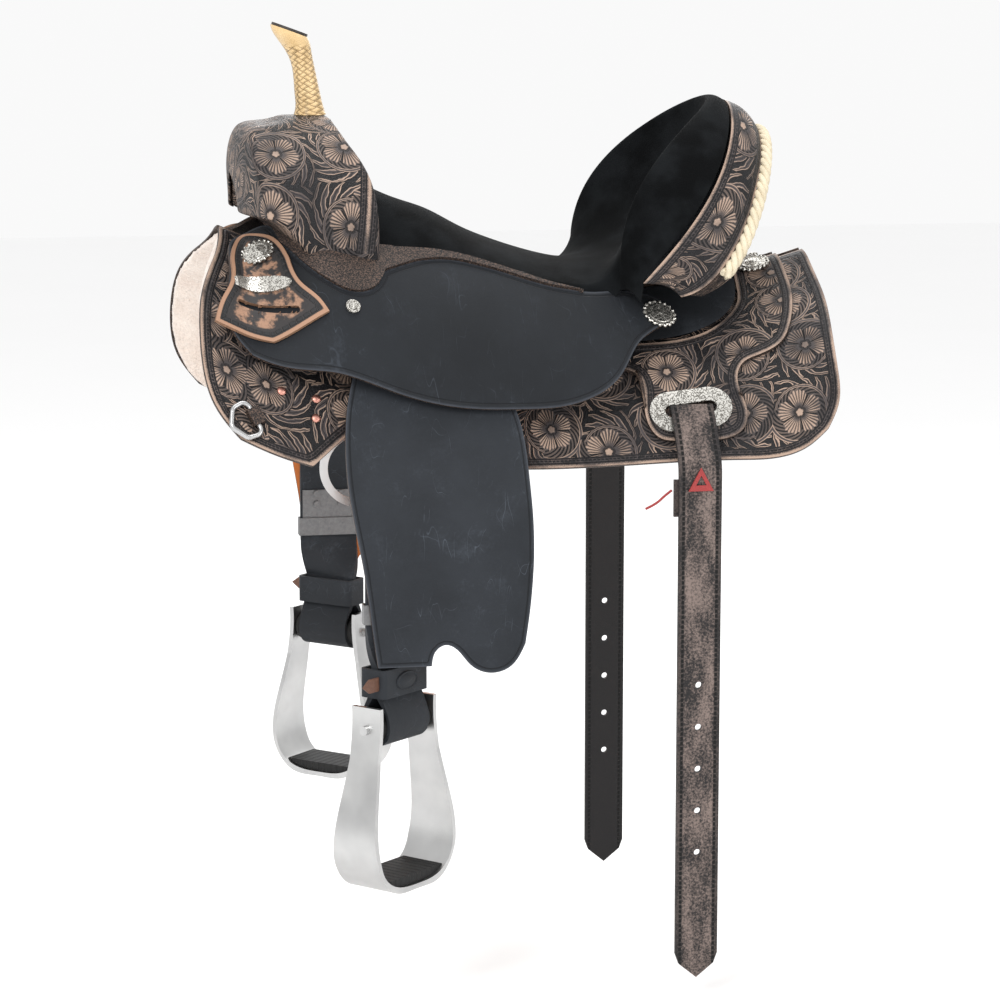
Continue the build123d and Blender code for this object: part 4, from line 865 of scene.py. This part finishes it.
rope_side = np.cross(rope_dir, (1.0, 0, 0))
rope_side /= np.linalg.norm(rope_side, axis=1)[:, None]
rope_up = np.cross(rope_side, rope_dir)
for strand in range(3):
    turn_at = rope_reach / (ROPE_LAY * MM) * 2 * np.pi + strand * 2 * np.pi / 3
    round_rope = np.cos(turn_at)[:, None] * rope_side + np.sin(turn_at)[:, None] * rope_up
    strand_line = rope_line + STRAND_RING * MM * round_rope
    ply = rope_curve.splines.new("NURBS")
    ply.points.add(len(strand_line) - 1)
    for point, spot in zip(ply.points, strand_line):
        point.co = (*spot, 1.0)
    ply.order_u = 3
    ply.use_endpoint_u = True
    ply.resolution_u = 2
rope_curve.materials.append(rope_material)
rope = bpy.data.objects.new("twisted_cantle_rope", rope_curve)
bpy.context.collection.objects.link(rope)
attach(rope, "saddle")
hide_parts("cantle_rope")

# ---- fork cover ------------------------------------------------------------------------
# Carved leather is stretched wet over the fork's swell and welted along its rear edge.
# Its carving runs round the swell and over onto both faces without a break.
FACE_FROM, FACE_RUN, FACE_BACK, FORK_HALF = -262.0, 85.0, 24.0, 140.0
FORK_MIDDLE, WELT_X, WELT_LEAN, WELT_FOOT = 90.0, -222.0, 0.10, 75.0
NO_EDGE = 100.0
for node, piece_name in (("fork_cover", "carved_fork_cover"), ("fork_core", "leathered_fork")):
    fork = remeshed(node, piece_name, 2.4 * MM)
    settle(fork, 4)
    fork_at = points_of(fork.data) / MM
    front_share = np.clip((FACE_FROM - fork_at[:, 0]) / FACE_RUN, 0, 1)
    fork_at[:, 0] += FACE_BACK * front_share * (np.abs(fork_at[:, 1]) / FORK_HALF) ** 2
    move_to(fork.data, fork_at * MM)
    angle = np.arctan2(fork_at[:, 1], fork_at[:, 2] - FORK_MIDDLE)
    spread = np.hypot(fork_at[:, 1], fork_at[:, 2] - FORK_MIDDLE)
    swell_edge = 119 + 21 * np.abs(np.sin(angle)) ** 1.35
    fall = np.clip(swell_edge - spread, 0, None)
    rear_half = fork_at[:, 0] > -282
    fork_flat = np.stack([np.where(rear_half, fork_at[:, 0] + fall, fork_at[:, 0] - fall), angle * 125], axis=1)
    welt_off = np.abs(fork_at[:, 0] - WELT_X - WELT_LEAN * (fork_at[:, 2] - 100)) + 1
    rear_gap = np.where(rear_half & (fork_at[:, 2] > WELT_FOOT), welt_off, NO_EDGE)
    fork_edge = np.stack([angle * 135 + 600, rear_gap], axis=1)
    corner = np.zeros(len(fork.data.loops), dtype=np.int64)
    fork.data.loops.foreach_get("vertex_index", corner)
    for label, values in (("flat", fork_flat), ("edge", np.where(rear_gap[:, None] < 60, fork_edge, NO_EDGE))):
        layer = fork.data.uv_layers.new(name=label)
        layer.data.foreach_set("uv", (values[corner] * MM).ravel())
    shade_smooth(fork.data)
    fork.data.materials.clear()
    fork.data.materials.append(skirt_carving)
    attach(fork, "saddle")
    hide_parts(node)

# ---- latigo keepers --------------------------------------------------------------------
# A small shaped leather holds the latigo in its slot, on top of the jockey's front end.
# Its face is rubbed tan between black buckstitches, under a concho and an oval plate.
KEEPER_RISE = 1.2 + 3.8


def keeper_rise(x, s):
    return jockey_rise(x, s) + KEEPER_RISE


def keeper_points(points):
    return down_the_arch(points, keeper_rise)


keeper_finish = Finish("rubbed_keeper_leather")
keeper_place = keeper_finish.map("flat")
keeper_run, keeper_inset, _ = keeper_finish.split(keeper_finish.map("edge"))
keeper_grain = keeper_finish.noise(keeper_place, 500.0, 5.0, 0.65)
keeper_cloud = keeper_finish.noise(keeper_place, 75.0, 4.0, 0.6)
keeper_dash = keeper_finish.maths("FRACT", keeper_run * (1 / 0.0078))
keeper_stitch = (keeper_finish.step(abs(keeper_dash - 0.5), 0.44, 0.34)
                 * keeper_finish.step(abs(keeper_inset - 0.0066), 0.0019, 0.0013))
keeper_line = keeper_finish.step(abs(keeper_inset - 0.0043), 0.0007, 0.0002)
keeper_worn = keeper_finish.step(keeper_inset, 0.0044, 0.0025) + (
    keeper_finish.step(keeper_inset, 0.0095, 0.0125) * keeper_finish.step(keeper_cloud, 0.36, 0.60) * 0.8)
keeper_tone = keeper_finish.colour(keeper_finish.step(keeper_worn * (0.5 + keeper_grain), 0.15, 0.95),
                                   (0.016, 0.013, 0.013, 1), (0.33, 0.185, 0.115, 1))
keeper_tone = keeper_finish.colour(keeper_finish.maths("MAXIMUM", keeper_stitch, keeper_line), keeper_tone,
                                   (0.006, 0.006, 0.007, 1))
keeper_leather = keeper_finish.paint(keeper_tone, 0.45 + 0.2 * keeper_grain,
                                     keeper_stitch * 0.8 - keeper_line * 0.5 + keeper_grain * 0.2, 0.0012, coat=0.1)
tan_finish = Finish("tan_cut_edge")
tan_grain = tan_finish.noise(tan_finish.place(), 500.0, 4.0)
tan_tone = tan_finish.colour(tan_grain, (0.10, 0.055, 0.035, 1), (0.36, 0.20, 0.12, 1))
tan_edge = tan_finish.paint(tan_tone, 0.6, tan_grain, 0.0004)
keeper_low = [keeper_points([(-381, 16), (-324, -6)]), keeper_points([(-324, -6), (-268, 24)])]
keeper_rear = [keeper_points([(-268, 24), (-276, 36), (-292, 50), (-298, 60), (-301, 73)])]
keeper_top = [keeper_points([(-357, 70), (-352, 82), (-338, 91), (-322, 92), (-308, 86), (-301, 73)])]
keeper_front = [keeper_points([(-381, 16), (-372, 36), (-360, 52), (-357, 70)])]
keeper_sheet, keeper_border = fill_cut(keeper_low, keeper_rear, keeper_top, keeper_front, 64, 58)
keeper_border = along([keeper_border], 800)
keeper_slot = keeper_points([(-326, 24)])[0]

for side, sign in SIDES.items():
    keeper = leather("latigo_keeper_leather_" + side, keeper_sheet, keeper_border,
                     lambda x, s: on_back(x, s, keeper_rise(x, s)), 3.6, [keeper_leather, tan_edge], sign,
                     hole=(keeper_slot, math.radians(6), 30.0, 3.5))
    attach(keeper, "saddle")
    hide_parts("latigo_keeper_" + side)

# ---- CAD pieces that keep their own shape ----------------------------------------------
# Steel, silver, straps, billets, horn and the covered tree are machined, cast, cut or
# wrapped parts that keep the CAD's own meshes; each gets its finish here.
def cover(nodes, material):
    for node in nodes:
        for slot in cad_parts[node].material_slots:
            slot.material = material


def both(*names):
    return [name + "_" + side for name in names for side in SIDES]


steel_finish = Finish("brushed_steel")
steel_streak = steel_finish.noise(steel_finish.place((1, 1, 14)), 90.0, 4.0, 0.7)
steel_smudge = steel_finish.noise(steel_finish.place(), 18.0, 3.0)
steel_tone = steel_finish.colour(steel_smudge, (0.34, 0.34, 0.345, 1), (0.66, 0.66, 0.65, 1))
steel = steel_finish.paint(steel_tone, 0.20 + 0.16 * steel_streak + 0.1 * steel_smudge, steel_streak, 0.00008,
                           metallic=1.0)
cover(both("breast_dee", "rigging_ring", "stirrup", "stirrup_bolt"), steel)

dull_finish = Finish("dull_buckle_steel")
dull_wear = dull_finish.noise(dull_finish.place(), 260.0, 4.0, 0.7)
dull_steel = dull_finish.paint(dull_finish.colour(dull_wear, (0.10, 0.10, 0.105, 1), (0.26, 0.26, 0.26, 1)),
                               0.38 + 0.2 * dull_wear, dull_wear, 0.0002, metallic=1.0)
cover(both("buckle_plate", "buckle_sleeve"), dull_steel)

silver_finish = Finish("engraved_silver")
silver_place = silver_finish.place()
silver_scroll = silver_finish.noise(silver_place, 330.0, 1.5, 0.4)
silver_cut = silver_finish.step(abs(silver_scroll - 0.5), 0.060, 0.018)
silver_fine = silver_finish.noise(silver_place, 900.0, 3.0)
silver_tone = silver_finish.colour(silver_cut * 0.85, (0.74, 0.72, 0.67, 1), (0.10, 0.09, 0.075, 1))
silver = silver_finish.paint(silver_tone, 0.24 + 0.25 * silver_cut + 0.1 * silver_fine, 1 - silver_cut, 0.0006,
                             metallic=1.0)
cover(both("flank_plate") + ["keeper_plates", "seat_screws"], silver)

copper_finish = Finish("copper_rivet")
copper_dull = copper_finish.noise(copper_finish.place(), 500.0, 3.0)
copper = copper_finish.paint(copper_finish.colour(copper_dull, (0.42, 0.17, 0.13, 1), (0.78, 0.42, 0.34, 1)),
                             0.32 + 0.2 * copper_dull, copper_dull, 0.0002, metallic=1.0)

strap_hide = nubuck("strap_nubuck", (0.0170, 0.0195, 0.0235, 1), place_map=None, bordered=False)
cover(both("stirrup_leather", "hobble_strap") + ["rigging_chapes"], strap_hide)

cover(both("tree_bar") + ["cantle_core", "ground_seat"], strap_hide)

TREAD_TURN = math.radians(43.0)
rubber_finish = Finish("black_rubber")
rubber_grain = rubber_finish.noise(rubber_finish.place(), 800.0, 3.0)
tread_x, tread_y, _ = rubber_finish.split(rubber_finish.place())
tread_run = tread_x * math.cos(TREAD_TURN) - abs(tread_y) * math.sin(TREAD_TURN)
tread_rib = rubber_finish.step(rubber_finish.maths("SINE", tread_run * (2 * math.pi / 0.0085)), -0.3, 0.5)
rubber = rubber_finish.paint(rubber_finish.colour(rubber_grain, (0.006, 0.006, 0.006, 1), (0.020, 0.020, 0.020, 1)),
                             0.65, rubber_grain * 0.2 + tread_rib, 0.0012, gloss=0.3)
cover(both("stirrup_tread", "stirrup_roller"), rubber)

billet_finish = Finish("mottled_billet_leather")
billet_place = billet_finish.place()
billet_x, billet_y, billet_z = billet_finish.split(billet_place)
billet_off = abs(billet_x - BILLET_X * MM)
billet_grain = billet_finish.noise(billet_place, 420.0, 5.0, 0.75)
billet_cloud = billet_finish.noise(billet_finish.place((2.2, 1, 0.8)), 26.0, 4.0)
billet_dash = billet_finish.maths("FRACT", billet_z * (1 / 0.0051) + 500.0)
billet_row = billet_finish.step(abs(billet_off - 0.0176), 0.0016, 0.0010)
billet_stitch = billet_row * billet_finish.step(abs(billet_dash - 0.5), 0.40, 0.28)
billet_rim = billet_finish.step(billet_off, 0.0150, 0.0166)
billet_facing = billet_finish.split(billet_finish.node("ShaderNodeTexCoord").outputs["Normal"])[1]
billet_face = billet_finish.step(billet_facing * billet_y, -0.02, 0.02)
billet_rub = billet_finish.step(billet_grain * 0.65 + billet_cloud * 0.45, 0.46, 0.68) * (1 - billet_rim * 0.65)
billet_rub = billet_rub * billet_face * 0.9
billet_tone = billet_finish.colour(billet_rub, (0.016, 0.015, 0.0155, 1), (0.215, 0.165, 0.145, 1))
billet_tone = billet_finish.colour(billet_stitch, billet_tone, (0.005, 0.005, 0.005, 1))
billet_leather = billet_finish.paint(billet_tone, 0.5 + 0.25 * billet_grain,
                                     billet_grain * 0.35 + billet_stitch * 0.9 - billet_rim * 0.3, 0.0009,
                                     gloss=0.22)
cover(both("flank_billet"), billet_leather)
cover(both("billet_lace"), lace_red)
cover(["dee_chapes"], leather_edge)

horn_finish = Finish("braided_rawhide")
horn_place = horn_finish.place()
hx, hy, hz = horn_finish.split(horn_place)
horn_turn = horn_finish.maths("ARCTAN2", hy, hx + 0.270)
horn_climb = hz * 520.0
lace_a = horn_finish.maths("SINE", horn_turn * 4.0 + horn_climb)
lace_b = horn_finish.maths("SINE", horn_turn * 4.0 - horn_climb)
over = horn_finish.step(lace_a * lace_b, -0.08, 0.08)
lay = abs(lace_a) * over + abs(lace_b) * (1 - over)
cord_gap = horn_finish.step(lay, 0.34, 0.12)
neck = horn_finish.step(hz, 0.284, 0.276)
horn_soil = horn_finish.noise(horn_place, 55.0, 4.0)
horn_tone = horn_finish.colour(horn_soil, (0.50, 0.31, 0.12, 1), (0.82, 0.62, 0.34, 1))
horn_tone = horn_finish.colour(cord_gap * neck * 0.8, horn_tone, (0.25, 0.12, 0.04, 1))
rawhide = horn_finish.paint(horn_tone, 0.33 + 0.15 * horn_soil, lay * neck * 0.8 + (1 - neck) * 0.6, 0.0022,
                            coat=0.3)
cover(["horn_wrap", "horn_core"], rawhide)
cap_finish = Finish("horn_cap_leather")
cap_grain = cap_finish.noise(cap_finish.place(), 600.0, 4.0)
cap_tone = cap_finish.colour(cap_grain, (0.012, 0.010, 0.009, 1), (0.05, 0.04, 0.034, 1))
cover(["horn_cap"], cap_finish.paint(cap_tone, 0.5, cap_grain, 0.0004))

# ---- conchos ---------------------------------------------------------------------------
# Cast silver discs with a low engraved dome, a rope ring and a rim of berries.
# Each one is screwed through a leather and stands just off it.
def seat_of(x, z, rise, lift):
    """Middle and turn of a small piece that lies on the near side, facing out."""
    _, s = down_the_arch([(x, z)], rise)[0]
    here, ahead, below = (Vector(on_back(x + i, s + j, rise(np.array(x + i), np.array(s + j)))) for i, j in
                          ((0, 0), (2, 0), (0, 2)))
    along_x = (ahead - here).normalized()
    out = (below - here).cross(along_x).normalized()
    if out.y > 0:
        out.negate()
    up = out.cross(along_x)
    turn = Matrix((along_x, up, out)).transposed().to_4x4()
    return Matrix.Translation((here + out * lift) * MM) @ turn


def onto_side(bm, place, sign):
    """Puts a piece made lying flat on its place, on either side of the saddle."""
    bmesh.ops.transform(bm, matrix=place, verts=bm.verts)
    if sign > 0:
        bmesh.ops.scale(bm, vec=(1, -1, 1), verts=bm.verts)
    bmesh.ops.recalc_face_normals(bm, faces=bm.faces)


def turned(bm, outline, steps=40):
    """Spins an outline of (radius, height) pairs, in millimetres, round the upright axis."""
    start = [bm.verts.new((r * MM, 0, h * MM)) for r, h in outline]
    edges = [bm.edges.new(pair) for pair in zip(start, start[1:])]
    bmesh.ops.spin(bm, geom=start + edges, cent=(0, 0, 0), axis=(0, 0, 1), angle=2 * math.pi, steps=steps,
                   use_merge=True)
    bmesh.ops.remove_doubles(bm, verts=bm.verts, dist=1e-6)


def finished_piece(bm, name, material):
    mesh = bpy.data.meshes.new(name)
    bm.to_mesh(mesh)
    bm.free()
    shade_smooth(mesh)
    mesh.materials.append(material)
    piece = bpy.data.objects.new(name, mesh)
    bpy.context.collection.objects.link(piece)
    return piece


CONCHO_OUTLINE = [(0.0, 0.0), (15.6, 0.0), (16.4, 0.8), (16.2, 1.9), (14.4, 2.5), (13.4, 2.0), (12.6, 2.7),
                  (11.6, 3.1), (10.6, 2.6), (8.5, 3.0), (5.0, 3.7), (3.2, 3.6), (2.4, 4.2), (0.0, 4.6)]
BERRIES = 18
BERRY_RING, BERRY_RADIUS, BERRY_LIFT = 16.6, 2.1, 1.3
concho_places = [seat_of(-329, 74, keeper_rise, 0.9), seat_of(84, 6, jockey_rise, 0.6),
                 seat_of(211, 46, housing_rise, 0.9)]
bm = bmesh.new()
for place in concho_places:
    for sign in SIDES.values():
        disc = bmesh.new()
        turned(disc, CONCHO_OUTLINE)
        for k in range(BERRIES):
            round_at = 2 * math.pi * k / BERRIES
            spot = (BERRY_RING * math.cos(round_at), BERRY_RING * math.sin(round_at), BERRY_LIFT)
            berry = Matrix.Translation(Vector(spot) * MM)
            bmesh.ops.create_icosphere(disc, subdivisions=2, radius=BERRY_RADIUS * MM, matrix=berry)
        onto_side(disc, place, sign)
        part = bpy.data.meshes.new("concho_part")
        disc.to_mesh(part)
        disc.free()
        bm.from_mesh(part)
        bpy.data.meshes.remove(part)
concho_set = finished_piece(bm, "berry_rim_conchos", silver)
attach(concho_set, "saddle")
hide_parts("conchos")

# ---- hobble patches --------------------------------------------------------------------
# Each hobble strap carries a plain pressed oval on its outer face, and the strap's
# tapered brown tail sticks out forward of it.
tail_finish = Finish("brown_strap_tail")
tail_grain = tail_finish.noise(tail_finish.place(), 480.0, 4.0)
tail_tone = tail_finish.colour(tail_grain, (0.055, 0.022, 0.014, 1), (0.16, 0.075, 0.045, 1))
tail_brown = tail_finish.paint(tail_tone, 0.55, tail_grain, 0.0004)
HOBBLE_TURN = math.radians(43.0)
across_strap = Vector((math.cos(HOBBLE_TURN), math.sin(HOBBLE_TURN), 0))
off_strap = across_strap.cross(Vector((0, 0, 1)))
strap_frame = Matrix((across_strap, (0, 0, 1), off_strap)).transposed().to_4x4()
hobble_middle = Vector((-212.0, -237.3, -342.5))
patch_place = Matrix.Translation((hobble_middle + off_strap * 16) * MM) @ strap_frame
tail_place = Matrix.Translation((hobble_middle + off_strap * 7) * MM) @ strap_frame
OVAL_OUTLINE = [(0.0, 0.0), (17.0, 0.0), (17.2, 0.9), (16.0, 1.7), (15.0, 0.9), (12.6, 0.9), (11.0, 1.6),
                (0.0, 2.0)]
OVAL_SQUASH = 0.55
TAIL_OUTLINE = [(-34, 8), (-51, 8), (-61, 1), (-51, -6), (-34, -6)]
TAIL_THICK = 2.6
for side, sign in SIDES.items():
    patch = bmesh.new()
    turned(patch, OVAL_OUTLINE)
    bmesh.ops.scale(patch, vec=(1, OVAL_SQUASH, 1), verts=patch.verts)
    onto_side(patch, patch_place, sign)
    oval = finished_piece(patch, "pressed_oval_" + side, strap_hide)
    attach(oval, "fender_" + side)
    tip = bmesh.new()
    blade = tip.faces.new([tip.verts.new((x * MM, z * MM, 0)) for x, z in TAIL_OUTLINE])
    walls = bmesh.ops.extrude_face_region(tip, geom=[blade])["geom"]
    raised = [v for v in walls if isinstance(v, bmesh.types.BMVert)]
    bmesh.ops.translate(tip, vec=(0, 0, TAIL_THICK * MM), verts=raised)
    bmesh.ops.bevel(tip, geom=list(tip.edges), offset=0.5 * MM, affect="EDGES", segments=2, profile=0.5, material=-1)
    onto_side(tip, tail_place, sign)
    strap_tail = finished_piece(tip, "hobble_tail_" + side, tail_brown)
    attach(strap_tail, "fender_" + side)

# ---- copper rivets ---------------------------------------------------------------------
# Domed burrs of soft copper hold the rigging through the front of each skirt, three on
# each side, hammered down so that their rims lie on the leather.
rivet_places = [seat_of(x, z, skirt_rise, 0.3) for x, z in ((-317, -56), (-282, -65), (-284, -83))]
bm = bmesh.new()
for place in rivet_places:
    for sign in SIDES.values():
        head = bmesh.new()
        turned(head, [(0.0, 0.0), (4.6, 0.0), (4.8, 0.5), (4.0, 1.4), (2.6, 2.1), (1.2, 2.4), (0.0, 2.5)], 24)
        onto_side(head, place, sign)
        part = bpy.data.meshes.new("rivet_part")
        head.to_mesh(part)
        head.free()
        bm.from_mesh(part)
        bpy.data.meshes.remove(part)
rivets = finished_piece(bm, "domed_copper_rivets", copper)
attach(rivets, "saddle")
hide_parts("copper_rivets")
